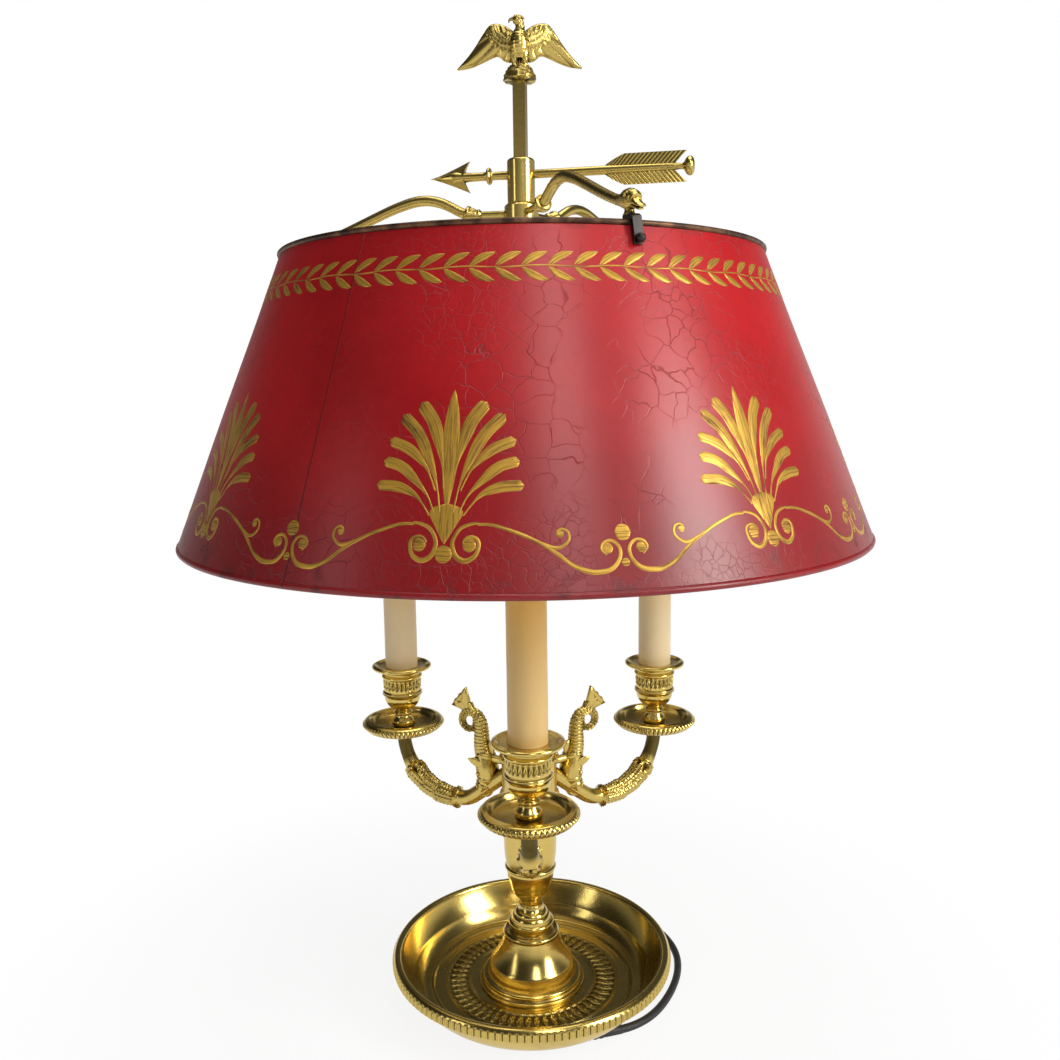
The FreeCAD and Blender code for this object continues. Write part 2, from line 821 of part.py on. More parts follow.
# Carriage: collar with the square hole, ring with three arms
collar = turned(
    "slide_collar",
    [
        (0, collar_low),
        (collar_r - 1.4, collar_low),
        (collar_r - 1.4, collar_seat),
        (collar_r - 0.4, collar_seat),
        (collar_r, collar_seat + 1),
        (collar_r, collar_top - 1.4, 0.2),
        (collar_r - 1.4, collar_top),
        (0, collar_top),
    ],
)
hole = new_sketch(collar, "collar_hole_outline", "XY_Plane")
square(hole, rod_side + rod_gap * 2)
feature(collar, "Pocket", "collar_hole", hole, Type="ThroughAll", Midplane=True)
tap = new_sketch(collar, "collar_tap_outline", "YZ_Plane")
circle(tap, 0, arrow_z, arrow_r + fit_gap)
feature(collar, "Pocket", "collar_tap", tap, Type="ThroughAll", Midplane=True)
turn_about_z(collar, rod_turn.value)

turned(
    "spider_hub",
    [
        (collar_r - 1.4 + fit_gap, ring_low),
        (ring_r - 1, ring_low),
        (ring_r, ring_low + 1),
        (ring_r, collar_seat - 1),
        (ring_r - 1, collar_seat),
        (collar_r - 1.4 + fit_gap, collar_seat),
    ],
)

head_r = shade_top_r - 4
head_z = shade_top_z + 11.6


def ready_form(body, kind, name, centre, pitch):
    """A ball, egg or other ready form on a bound point, tipped forward by pitch."""
    made = body.newObject(f"PartDesign::{kind}", name)
    spots = [Size.of(c) for c in centre]
    made.Placement = Placement(Vector(*[s.value for s in spots]), Rotation(Vector(0, 1, 0), pitch))
    for axis, size in zip("xyz", spots):
        made.setExpression(f".Placement.Base.{axis}", size.text)
    body.Tip = made
    return made


def spider_arm(number, degrees):
    """One swan-necked arm: rod and bell at the ring, arched neck, head that rests on the shade."""
    arm = body_named(f"spider_arm_{number}")
    rod_section = new_sketch(arm, f"spider_{number}_rod_section", "YZ_Plane", ring_r)
    circle(rod_section, 0, spider_z, spider_rod_r)
    feature(arm, "Pad", f"spider_{number}_rod", rod_section, Length=Size.of(22.0))
    bell = ready_form(arm, "AdditiveCone", f"spider_{number}_bell", (ring_r + 15, 0, spider_z), 90)
    bell.Radius1 = 3.0
    bell.Radius2 = 5.0
    bell.Height = 8.0
    path = new_sketch(arm, f"spider_{number}_path")
    route(
        path,
        [
            (ring_r + 21, spider_z),
            (ring_r + 29, spider_z),
            (ring_r + 49, spider_peak),
            (head_r - 12, head_z + 1),
            (head_r, head_z + 1),
        ],
        [12, 30, 14],
    )
    section = new_sketch(arm, f"spider_{number}_section", "YZ_Plane", ring_r + 21)
    circle(section, 0, spider_z, spider_neck_r)
    pipe = feature(arm, "AdditivePipe", f"spider_{number}_neck", section)
    pipe.Spine = (path, [""])
    pipe.Mode = "Standard"
    path.Visibility = False
    arm.Tip = pipe
    skull = ready_form(arm, "AdditiveEllipsoid", f"spider_{number}_skull", (head_r + 0.5, 0, head_z), 6)
    skull.Radius1 = 4.6
    skull.Radius2 = 6.0
    skull.Radius3 = 4.4
    bill = ready_form(arm, "AdditiveEllipsoid", f"spider_{number}_bill", (head_r + 6, 0, head_z - 2), 10)
    bill.Radius1 = 2.0
    bill.Radius2 = 5.0
    bill.Radius3 = 2.8
    foot_sketch = new_sketch(arm, f"spider_{number}_foot_outline", "XZ_Plane")
    outline(
        foot_sketch,
        [
            (head_r - 3, shade_top_z + 5.6),
            (head_r + 5, shade_top_z + 5.6),
            (head_r + 5, head_z),
            (head_r - 3, head_z),
        ],
    )
    feature(arm, "Pad", f"spider_{number}_foot", foot_sketch, Length=Size.of(5.0), Midplane=True)
    turn_about_z(arm, degrees)


for number in (1, 2, 3):
    spider_arm(number, spider_turn.value + 120 * (number - 1))

# Shade: a plain tin cone, with a rolled hem at each end
slope_r = shade_low_r - shade_top_r
slope_z = shade_top_z - shade_low_z
skin = shade_wall * hypot(slope_r, slope_z) / slope_z
cone = turned(
    "shade_cone",
    [
        (shade_low_r, shade_low_z),
        (shade_top_r, shade_top_z),
        (shade_top_r - skin, shade_top_z),
        (shade_low_r - skin, shade_low_z),
    ],
)
screw_z = shade_top_z - 6.5
screw_r = shade_top_r + slope_r * 6.5 / slope_z
SCREW_TURNS = [spider_turn.value + 120 * step for step in range(3)]
for number, degrees in enumerate(SCREW_TURNS, start=1):
    outward = Vector(math.cos(math.radians(degrees)), math.sin(math.radians(degrees)), 0)
    start = outward * (screw_r.value - 8) + Vector(0, 0, screw_z.value)
    drill(cone, f"shade_hole_{number}", Size.of(1.25), start, outward, 16)


def rolled_hem(name, radius, height, wire, flat):
    """A hem rolled over a wire, eight-sided in section, with its flat side against the tin."""
    points = []
    for step in range(8):
        angle = math.radians(22.5 + 45 * step)
        points.append((radius + wire * (math.cos(angle) * 1.03), height + wire * (math.sin(angle) * flat)))
    turned(name, points)


rolled_hem("shade_rim_top", shade_top_r - skin / 2, shade_top_z + top_wire_r, top_wire_r, 1.0824)
rolled_hem("shade_rim_bottom", shade_low_r - skin / 2, shade_low_z - low_wire_r, low_wire_r, 1.0824)

# Rim clips: hooked over the top hem at each swan's head, held by a ball-headed screw through the tin
clips = []
screws = []
clip_z = shade_top_z + top_wire_r * 2
for number, degrees in enumerate(SCREW_TURNS, start=1):
    clip = body_named(f"clip_{number}")
    strap = new_sketch(clip, f"clip_{number}_outline", "XZ_Plane")
    outline(
        strap,
        [
            (head_r - 3, clip_z),
            (shade_top_r + 1.4, clip_z),
            (screw_r + 1.4, screw_z - 2.6),
            (screw_r + 2.6, screw_z - 2.6),
            (screw_r + 2.6, screw_z + 2.6),
            (shade_top_r + 3, clip_z + 1.4),
            (head_r + 5, clip_z + 2.6),
            (head_r - 3, clip_z + 2.6),
        ],
    )
    feature(clip, "Pad", f"clip_{number}_width", strap, Length=Size.of(5.0), Midplane=True)
    drill(clip, f"clip_{number}_hole", Size.of(1.25), Vector(screw_r.value - 4, 0, screw_z.value), Vector(1, 0, 0), 12)
    turn_about_z(clip, degrees)
    clips.append(clip)
    screw = body_named(f"screw_{number}")
    shank = new_sketch(screw, f"screw_{number}_shank", "YZ_Plane", screw_r - 5)
    circle(shank, 0, screw_z, 1.2)
    feature(screw, "Pad", f"screw_{number}_pad", shank, Length=Size.of(9.0))
    knob = ready_form(screw, "AdditiveSphere", f"screw_{number}_ball", (screw_r + 4.7, 0, screw_z), 0)
    knob.Radius = 2.3
    turn_about_z(screw, degrees)
    screws.append(screw)
grouped("shade_clips", clips)
grouped("shade_screws", screws)


def arrow_half(name, sign, profile, plate_points, plate_wall):
    """Half of the arrow: a round shaft turned about its own axis, and a flat head or tail."""
    made = body_named(name)
    shaft = new_sketch(made, f"{name}_shaft_outline", "XZ_Plane", None)
    points = [(sign * x, y) for x, y in profile]
    if sign < 0:
        points.reverse()
    shaft.AttachmentOffset = Placement(Vector(0, arrow_z.value, 0), Rotation())
    shaft.setExpression("AttachmentOffset.Base.y", arrow_z.text)
    outline(shaft, points)
    feature(made, "Revolution", f"{name}_shaft", shaft, ReferenceAxis=(shaft, ["H_Axis"]), Angle=360.0)
    flat = new_sketch(made, f"{name}_plate_outline", "XZ_Plane")
    flat.AttachmentOffset = Placement(Vector(0, arrow_z.value, 0), Rotation())
    flat.setExpression("AttachmentOffset.Base.y", arrow_z.text)
    outline(flat, [(sign * x, y) for x, y in plate_points])
    feature(made, "Pad", f"{name}_plate", flat, Length=Size.of(plate_wall), Midplane=True)
    turn_about_z(made, rod_turn.value)
    return made


# Arrow: the barbed half is fixed in the collar, the feathered half is the screw that clamps the rod
rod_half = rod_side / 2 + rod_gap
bead = arrow_r + 2.5
arrow_half(
    "arrow_head",
    -1,
    [
        (rod_half + 0.2, 0),
        (arrow_tip - 4, 0),
        (arrow_tip - 14, bead - 1),
        (arrow_tip - 26, arrow_r),
        (22, arrow_r),
        (20.6, bead),
        (18.6, bead),
        (17.2, arrow_r),
        (rod_half + 0.2, arrow_r),
    ],
    [
        (arrow_tip, 0),
        (arrow_tip - 22, barb_h),
        (arrow_tip - 28, barb_h),
        (arrow_tip - 21, 0),
        (arrow_tip - 28, -barb_h),
        (arrow_tip - 22, -barb_h),
    ],
    3.2,
)
arrow_half(
    "arrow_key",
    1,
    [
        (rod_half + 0.1, 0),
        (arrow_tail, 0),
        (arrow_tail, bead - 1),
        (arrow_tail - 1.4, bead + 0.5),
        (arrow_tail - 4.6, bead + 0.5),
        (arrow_tail - 6, bead - 1),
        (arrow_tail - 8, arrow_r),
        (22, arrow_r),
        (20.6, bead),
        (18.6, bead),
        (17.2, arrow_r),
        (rod_half + 0.1, arrow_r),
    ],
    [
        (50, 0),
        (54, vane_h * 0.78),
        (62, vane_h),
        (arrow_tail - 5, vane_h),
        (arrow_tail - 12, 0),
        (arrow_tail - 5, -vane_h),
        (62, -vane_h),
        (54, -vane_h * 0.78),
    ],
    vane_wall,
)


def swept_cord(name, points, radius):
    """A round cord along straight runs that are joined by tangent arcs."""
    edges = []
    start = points[0]
    for i in range(1, len(points) - 1):
        back = points[i - 1] - points[i]
        ahead = points[i + 1] - points[i]
        run = min(back.Length, ahead.Length) * 0.45
        back.normalize()
        ahead.normalize()
        half_angle = back.getAngle(ahead) / 2
        bisector = (back + ahead).normalize()
        bend = run * math.tan(half_angle)
        centre = points[i] + bisector * (bend / math.sin(half_angle))
        first = points[i] + back * run
        last = points[i] + ahead * run
        edges.append(Part.LineSegment(start, first).toShape())
        edges.append(Part.Arc(first, centre - bisector * bend, last).toShape())
        print(f"{name} bend {i}: radius {bend:.1f}, turn {180 - math.degrees(2 * half_angle):.0f}")
        start = last
    edges.append(Part.LineSegment(start, points[-1]).toShape())
    spine = Part.Wire(edges)
    section = Part.Wire(Part.makeCircle(radius, points[0], points[1] - points[0]))
    solid = spine.makePipeShell([section], True, True, 2)
    print(f"{name} length {spine.Length:.0f}, volume ratio {solid.Volume / (spine.Length * math.pi * radius**2):.4f}")
    return solid


# Supply cord: out of the bush, round the right side, and into a coil behind the base
cord_z = cord_r.value + 0.1
ROUTE = [
    BUSH_START + EXIT_OUT * 2,
    Vector(44, EXIT_WALL.y + (44 - EXIT_WALL.x) * math.tan(HEADING), exit_z.value),
    Vector(60, -39, cord_z),
    Vector(75, -24, cord_z),
    Vector(87, -5, cord_z),
    Vector(96, 17, cord_z),
    Vector(98, 41, cord_z),
    Vector(91, 66, cord_z),
    Vector(77, 88, cord_z),
    Vector(59, 103, cord_z),
    Vector(coil_r.value + 0.8, coil_y.value + 2, cord_z),
]
solid_feature("cord_lead", swept_cord("cord_lead", ROUTE, cord_r.value))

# Spare cord: wound flat in three layers, four turns wide at the bottom and one at the top
coil = turned(
    "cord_coil",
    [
        (coil_hole + 1, 0),
        (coil_r - 1, 0),
        (coil_r, 1),
        (coil_r, cord_r * 1.8),
        (coil_r - 3.3, coil_h - 5.1),
        (coil_r - 9.9, coil_h),
        (coil_hole + 4.9, coil_h),
        (coil_hole + 2.3, coil_h - 4.7),
        (coil_hole, cord_r * 1.8),
        (coil_hole, 1),
    ],
)
coil.Placement = Placement(Vector(0, coil_y.value, 0), Rotation())
coil.setExpression("Placement.Base.y", coil_y.text)

# Two-pin plug, lying flat beside the coil, with its mouth towards it
plug_wide = dim("plug_width", 24)
plug_thick = dim("plug_thickness", 14)
plug_len = dim("plug_length", 26)
blade_len = dim("plug_blade_length", 17)
PLUG_TURN = Rotation(Vector(0, 0, 1), 45)
PLUG_MOUTH = Vector(-53, coil_y.value - 24.5, 0)


def lay_beside_coil(body):
    body.Placement = Placement(PLUG_MOUTH, PLUG_TURN)


doc.recompute()
plug_z = plug_thick / 2
tail_start = Vector(-4, 0, plug_z.value)
tail_len = dim("cord_tail_length", 26)
doc.recompute()
tail = turned("cord_tail", [(0, 0), (cord_r, 0), (cord_r, tail_len), (0, tail_len)])
tail.Placement = Placement(PLUG_MOUTH, PLUG_TURN) * Placement(tail_start, Rotation(Vector(0, 1, 0), 90))
plug = body_named("plug_body")
plug_sketch = new_sketch(plug, "plug_outline", "XY_Plane")
half_wide = plug_wide / 2
outline(
    plug_sketch,
    [
        (-plug_len, -half_wide),
        (-plug_len * 0.4, -half_wide, -0.1),
        (0, -cord_r * 1.8),
        (0, cord_r * 1.8, -0.1),
        (-plug_len * 0.4, half_wide),
        (-plug_len, half_wide),
    ],
)
feature(plug, "Pad", "plug_pad", plug_sketch, Length=plug_thick)
mouth = new_sketch(plug, "plug_mouth_outline", "YZ_Plane", Size.of(-4.0))
circle(mouth, 0, plug_z, cord_r + fit_gap)
feature(plug, "Pocket", "plug_mouth", mouth, Type="Length", Length=Size.of(6.0), Reversed=True)
lay_beside_coil(plug)
blades = []
for number, side in ((1, -1), (2, 1)):
    blade = body_named(f"blade_{number}")
    blade_sketch = new_sketch(blade, f"blade_{number}_outline", "YZ_Plane", -plug_len)
    y = Size.of(6.35 * side)
    outline(
        blade_sketch,
        [(y - 0.8, plug_z - 3.2), (y + 0.8, plug_z - 3.2), (y + 0.8, plug_z + 3.2), (y - 0.8, plug_z + 3.2)],
    )
    feature(blade, "Pad", f"blade_{number}_pad", blade_sketch, Length=blade_len, Reversed=True)
    lay_beside_coil(blade)
    blades.append(blade)
grouped("plug_blades", blades)

doc.recompute()
faults = []
for thing in doc.Objects:
    if "Invalid" in thing.State or "Error" in thing.State:
        faults.append(f"{thing.Name}: {thing.State} {thing.getStatusString()}")
nodes = [
    thing
    for thing in doc.Objects
    if thing.TypeId in ("PartDesign::Body", "Part::Feature", "Part::Compound") and thing.Name not in inner
]
for thing in nodes:
    if thing.Shape.isNull() or not thing.Shape.isValid() or not thing.Shape.Solids:
        faults.append(f"{thing.Label}: shape is empty or not valid")
if faults:
    raise SystemExit("\n".join(faults))

os.makedirs("parts", exist_ok=True)
for thing in nodes:
    thing.Shape.exportStep(f"parts/{thing.Label}.step")
    print(f"{thing.Label}: {len(thing.Shape.Solids)} solid(s), {thing.Shape.Volume / 1000:.2f} cm3")
print(len(nodes), "pieces")
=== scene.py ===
"""A three-light bouillotte lamp: brass dish and stem, three dolphin arms, and a painted tin shade."""

from math import atan, cos, pi, radians, sin

import bmesh
import bpy
import numpy as np
from mathutils import Matrix, Vector


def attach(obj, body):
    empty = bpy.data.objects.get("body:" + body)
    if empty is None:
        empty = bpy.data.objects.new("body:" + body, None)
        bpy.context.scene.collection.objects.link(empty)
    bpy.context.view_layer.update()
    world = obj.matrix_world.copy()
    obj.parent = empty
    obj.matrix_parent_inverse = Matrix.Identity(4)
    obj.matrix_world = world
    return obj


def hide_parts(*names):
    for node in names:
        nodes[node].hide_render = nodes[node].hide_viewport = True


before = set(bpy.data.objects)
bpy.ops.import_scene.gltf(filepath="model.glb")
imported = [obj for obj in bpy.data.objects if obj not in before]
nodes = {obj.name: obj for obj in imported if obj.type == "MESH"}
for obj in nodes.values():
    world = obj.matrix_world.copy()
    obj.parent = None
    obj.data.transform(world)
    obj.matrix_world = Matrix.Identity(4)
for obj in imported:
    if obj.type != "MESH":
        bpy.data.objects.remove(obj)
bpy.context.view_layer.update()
scene = bpy.context.scene
MM = 0.001

# Camera: in front of the lamp, level with the middle of the shade and looking slightly down, as the
# lamp was photographed. The lens gives the same spread of view as the photograph.
PHOTO_SIDE = 1060
FOCAL_LENGTH = 986.8
SENSOR = 36
LOOKS_DOWN = 8.29
LEANS = -0.75
scene.view_settings.view_transform = "Standard"
camera_data = bpy.data.cameras.new("camera")
camera_data.sensor_width = SENSOR
camera_data.lens = SENSOR * FOCAL_LENGTH / PHOTO_SIDE
camera = bpy.data.objects.new("camera", camera_data)
camera.location = (0.0026, -0.6175, 0.4062)
camera.rotation_euler = (
    Matrix.Rotation(radians(90 - LOOKS_DOWN), 4, "X") @ Matrix.Rotation(radians(LEANS), 4, "Z")
).to_euler()
scene.collection.objects.link(camera)
scene.camera = camera

# Studio: a broad soft light at the right, a weak one at the left, a tall one in front whose sheen
# falls on the shade, and a large one overhead. The room is white to the camera and through glass;
# metal reflects its pale walls near the table, the dimmer walls above and at the left, and its ceiling.
WALL_STOPS = ((0.0, 0.85), (0.14, 0.6), (0.32, 0.10), (0.72, 0.06), (0.88, 0.4), (1.0, 0.7))
FILL = (0.2, 0.2, 0.205, 1)
WHITE = (1, 1, 1, 1)


class Wire:
    """A node socket. Sums and products of wires add Math nodes, and node() adds any other node."""

    def __init__(self, tree, socket=None):
        self.tree = tree
        self.socket = socket

    def node(self, kind, settings=None, sockets=None, output=0):
        made = self.tree.nodes.new("ShaderNode" + kind)
        for name, value in (settings or {}).items():
            if name == "stops":
                while len(made.color_ramp.elements) < len(value):
                    made.color_ramp.elements.new(0.5)
                for element, (position, colour) in zip(made.color_ramp.elements, value):
                    element.position = position
                    element.color = colour
            else:
                setattr(made, name, value)
        for name, value in (sockets or {}).items():
            if isinstance(value, Wire):
                self.tree.links.new(value.socket, made.inputs[name])
            else:
                made.inputs[name].default_value = value
        return Wire(self.tree, made.outputs[output])

    def maths(self, operation, *values):
        return self.node("Math", {"operation": operation}, dict(enumerate(values)))

    def __add__(self, other):
        return self.maths("ADD", self, other)

    def __radd__(self, other):
        return self.maths("ADD", other, self)

    def __sub__(self, other):
        return self.maths("SUBTRACT", self, other)

    def __rsub__(self, other):
        return self.maths("SUBTRACT", other, self)

    def __mul__(self, other):
        return self.maths("MULTIPLY", self, other)

    def __rmul__(self, other):
        return self.maths("MULTIPLY", other, self)

    def between(self, low, high):
        """0 below low, 1 above high, and smooth between them."""
        spread = {"Value": self, "From Min": low, "From Max": high}
        return self.node("MapRange", {"interpolation_type": "SMOOTHSTEP"}, spread)

    def clamped(self):
        """This wire, kept from 0 to 1."""
        return self.node("Clamp", None, {0: self})

    def parts(self):
        """The three numbers of a place or a direction."""
        split = self.node("SeparateXYZ", None, {0: self}).socket.node
        return [Wire(self.tree, socket) for socket in split.outputs]

    def ray(self, kind):
        """1 for light of this kind: Camera, Glossy or Transmission."""
        return self.node("LightPath", output=f"Is {kind} Ray")

    def noise(self, scale, detail=3.0, rough=0.55, stretch=(1, 1, 1)):
        """Cloudy values on this wire's coordinates, with scale in clouds per metre."""
        at = self
        if stretch != (1, 1, 1):
            at = self.node("Mapping", None, {"Vector": self, "Scale": stretch})
        facts = {"Vector": at, "Scale": scale, "Detail": detail, "Roughness": rough}
        return self.node("TexNoise", None, facts)

    def mix(self, low, high):
        """Colour low where this wire is 0, and high where it is 1."""
        return self.node("Mix", {"data_type": "RGBA"}, {"Factor": self, 6: low, 7: high}, output=2)


world = bpy.data.worlds.new("studio")
scene.world = world
world.use_nodes = True
room = Wire(world.node_tree)
sideways, _, upward = room.node("TexCoord", output="Generated").parts()
walls = upward.node(
    "ValToRGB",
    {"stops": [(place, (level, level * 0.99, level * 0.97, 1)) for place, level in WALL_STOPS]},
    {0: upward},
)
unlit_side = sideways.node(
    "MapRange", None, {"Value": sideways, "From Min": -0.75, "From Max": 0.05, "To Min": 0.3}
)
reflected = walls.node("VectorMath", {"operation": "SCALE"}, {0: walls, "Scale": unlit_side})
seen = room.maths("MAXIMUM", room.ray("Camera"), room.ray("Transmission"))
shown = seen.mix(room.ray("Glossy").mix(FILL, reflected), WHITE)
sky = next(n for n in world.node_tree.nodes if n.type == "BACKGROUND")
world.node_tree.links.new(shown.socket, sky.inputs["Color"])


def soft_light(name, place, target, size, watts, colour=(1, 1, 1)):
    """A rectangular soft box at place, facing target."""
    data = bpy.data.lights.new(name, "AREA")
    data.shape = "RECTANGLE"
    data.size, data.size_y = size
    data.energy = watts
    data.color = colour
    lamp = bpy.data.objects.new(name, data)
    lamp.location = place
    lamp.rotation_euler = (Vector(target) - Vector(place)).to_track_quat("-Z", "Y").to_euler()
    scene.collection.objects.link(lamp)


soft_light("window_right", (1.35, -0.85, 0.95), (0, 0, 0.36), (0.55, 1.0), 22, (1, 0.99, 0.97))
soft_light("window_left", (-1.25, -0.8, 0.6), (0, 0, 0.3), (0.25, 0.9), 1.6, (0.97, 0.98, 1))
soft_light("sheen", (0.38, -1.4, 1.55), (0, -0.1, 0.42), (0.4, 1.1), 8)
soft_light("overhead", (0.15, 0.1, 1.7), (0, 0, 0.3), (1.0, 1.0), 7)

# Table: a plain pale sheet that keeps the lamp's shadow. To the eye and in reflections it also glows
# a little, and more away from the lamp, so that it ends in white without lighting the lamp.
TABLE = 4.0


def finish_named(name):
    """A new material, a wire that carries its object coordinates, and its shader node."""
    made = bpy.data.materials.new(name)
    made.use_nodes = True
    tree = made.node_tree
    shader = next(n for n in tree.nodes if n.type == "BSDF_PRINCIPLED")
    return made, Wire(tree).node("TexCoord", output="Object"), shader


def feed(shader, **sockets):
    """Sets or links sockets of a Principled shader, with underscores for the spaces in their names."""
    for name, value in sockets.items():
        socket = shader.inputs[name.replace("_", " ")]
        if isinstance(value, Wire):
            value.tree.links.new(value.socket, socket)
        else:
            socket.default_value = value


def bumped(shader, height, depth):
    """Gives a shader the relief of the height wire, where 1 is depth millimetres."""
    feed(shader, Normal=height.node("Bump", None, {"Height": height, "Distance": depth * MM}))


floor_finish, here, shader = finish_named("pale_floor")
feed(shader, Base_Color=(0.86, 0.86, 0.86, 1), Roughness=0.9)
away = here.node("VectorMath", {"operation": "LENGTH"}, {0: here}, output="Value").between(0.16, 0.42)
glow = (0.88 + away * 0.12) * (here.ray("Camera") + here.ray("Glossy") * 0.8 + here.ray("Transmission"))
paper = Wire(here.tree, shader.outputs[0])
sheet = here.node("MixShader", None, {0: glow, 1: paper, 2: here.node("Emission")})
surface = next(n for n in here.tree.nodes if n.type == "OUTPUT_MATERIAL").inputs[0]
here.tree.links.new(sheet.socket, surface)
floor_mesh = bpy.data.meshes.new("floor")
corners = [(-TABLE, -TABLE, 0), (TABLE, -TABLE, 0), (TABLE, TABLE, 0), (-TABLE, TABLE, 0)]
floor_mesh.from_pydata(corners, [], [(0, 1, 2, 3)])
floor_mesh.materials.append(floor_finish)
floor = bpy.data.objects.new("floor", floor_mesh)
scene.collection.objects.link(floor)

# Supply cord: black rubber-covered flex, 5 mm thick. It leaves the foot drum through its strain relief,
# runs round the right side on the table, and its spare length lies in a flat coil behind the dish.
CORD = 5.0
CORD_EXIT = (27.0, -52.5, 4.85)
COIL_CENTRE = (0.0, 107.5)
COIL_TURNS = (
    (35.5, 2.6), (30.6, 2.6), (25.7, 2.6), (20.9, 2.6), (22.8, 6.9), (27.7, 6.9), (32.5, 6.9),
    (27, 11.3), (25, 11.5),
)
route = [
    CORD_EXIT,
    (32.5, -51.8, 4.85), (41, -50.5, 4.6), (61, -45, 3), (79, -31, 2.6), (93, -8, 2.6), (102, 17, 2.6),
    (104, 42, 2.6), (96, 68, 2.6), (80, 91, 2.6), (60, 109, 2.6),
]
STEPS = 16
LAST_STEPS = 5
EASE_FROM = 0.6
turned_to = radians(38)
for ring, (reach, height) in enumerate(COIL_TURNS):
    next_reach, next_height = COIL_TURNS[min(ring + 1, len(COIL_TURNS) - 1)]
    for step in range(STEPS if ring < len(COIL_TURNS) - 1 else LAST_STEPS):
        share = max(0.0, step / STEPS - EASE_FROM) / (1 - EASE_FROM)
        r = reach + (next_reach - reach) * share
        z = height + (next_height - height) * share
        route.append((COIL_CENTRE[0] + r * cos(turned_to), COIL_CENTRE[1] + r * sin(turned_to), z))
        turned_to += 2 * pi / STEPS
route += [(-29, 113, 12.2), (-38, 102.5, 11.6), (-46, 92, 8.6), (-52, 84.5, 7.1), (-55, 81, 7)]
flex = bpy.data.curves.new("supply_cord", "CURVE")
flex.dimensions = "3D"
line = flex.splines.new("NURBS")
line.points.add(len(route) - 1)
for point, place in zip(line.points, route):
    point.co = (*(Vector(place) * MM), 1)
line.order_u = 3
line.use_endpoint_u = True
line.resolution_u = 6
flex.bevel_depth = CORD / 2 * MM
flex.bevel_resolution = 4
flex.use_fill_caps = True
rubber, here, shader = finish_named("black_rubber")
grain = here.noise(900, 3)
feed(
    shader,
    Base_Color=here.noise(60, 3).mix((0.012, 0.012, 0.013, 1), (0.028, 0.027, 0.028, 1)),
    Roughness=0.42 + grain * 0.2,
)
bumped(shader, grain, 0.05)
flex.materials.append(rubber)
cord = bpy.data.objects.new("supply_cord", flex)
scene.collection.objects.link(cord)
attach(cord, "stand")
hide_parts("cord_lead", "cord_coil", "cord_tail")


def coated(names, finish):
    """Gives CAD nodes their material."""
    for name in names:
        nodes[name].data.materials.clear()
        nodes[name].data.materials.append(finish)


coated(["plug_body"], rubber)

# Strain relief: a ribbed rubber sleeve moulded on the cord where it leaves the foot drum. It tapers
# from a shoulder against the drum down to the cord, so that the cord never bends sharply there.
RELIEF = (
    (0, 3.05), (1.9, 3.05), (2.1, 4.6), (5, 4.6), (5.4, 4.1), (7, 4.1), (7.4, 4.4), (9, 4.3),
    (9.4, 3.85), (11, 3.8), (11.4, 4.05), (13, 4.0), (13.4, 3.6), (15, 3.55), (15.4, 3.8), (17, 3.7),
    (17.4, 3.35), (22, 3.1), (30, 2.7), (30.4, 2.45),
)
ROUND = 32


def meshed(name, points, faces, finish, body, crease=32, recess=None):
    """A finished piece from points in millimetres, with soft shading except over sharp edges.
    recess, from 0 to 1 at each point, is where the chaser's tool has left a hollow that keeps its tarnish."""
    mesh = bpy.data.meshes.new(name)
    mesh.from_pydata((np.asarray(points, float) * MM).tolist(), [], faces)
    mesh.materials.append(finish)
    if recess is not None:
        hollows = mesh.attributes.new("recess", "FLOAT", "POINT")
        hollows.data.foreach_set("value", np.clip(recess, 0, 1).ravel())
    shell = bmesh.new()
    shell.from_mesh(mesh)
    bmesh.ops.recalc_face_normals(shell, faces=shell.faces)
    shell.to_mesh(mesh)
    shell.free()
    mesh.polygons.foreach_set("use_smooth", [True] * len(mesh.polygons))
    mesh.set_sharp_from_angle(angle=radians(crease))
    made = bpy.data.objects.new(name, mesh)
    scene.collection.objects.link(made)
    if body:
        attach(made, body)
    return made


def stands_for(made, slot, *cad_nodes):
    """The piece replaces these CAD nodes, which are hidden. slot is not used."""
    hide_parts(*cad_nodes)


def along_line(line):
    """How far each point of a line is from its start."""
    return np.concatenate([[0], np.cumsum(np.linalg.norm(np.diff(line, axis=0), axis=1))])


bare = flex.copy()
bare.bevel_depth = 0
guide = bpy.data.objects.new("cord_guide", bare)
path = np.array([point.co for point in bpy.data.meshes.new_from_object(guide).vertices]) / MM
bpy.data.objects.remove(guide)
gone = along_line(path)
points = []
for run, size in RELIEF:
    centre = Vector([np.interp(run, gone, path[:, axis]) for axis in range(3)])
    ahead = Vector([np.interp(run + 1, gone, path[:, axis]) for axis in range(3)]) - centre
    aside = ahead.cross(Vector((0, 0, 1))).normalized()
    over = aside.cross(ahead).normalized()
    for k in range(ROUND):
        turned = 2 * pi * k / ROUND
        points.append(centre + aside * size * cos(turned) + over * size * sin(turned))
faces = [
    (i * ROUND + k, i * ROUND + (k + 1) % ROUND, (i + 1) * ROUND + (k + 1) % ROUND, (i + 1) * ROUND + k)
    for i in range(len(RELIEF) - 1)
    for k in range(ROUND)
]
faces += [tuple(range(ROUND)), tuple(range(len(points) - ROUND, len(points)))]
relief = meshed("cord_strain_relief", points, faces, rubber, "stand")
stands_for(relief, "cord", "cord_bush")

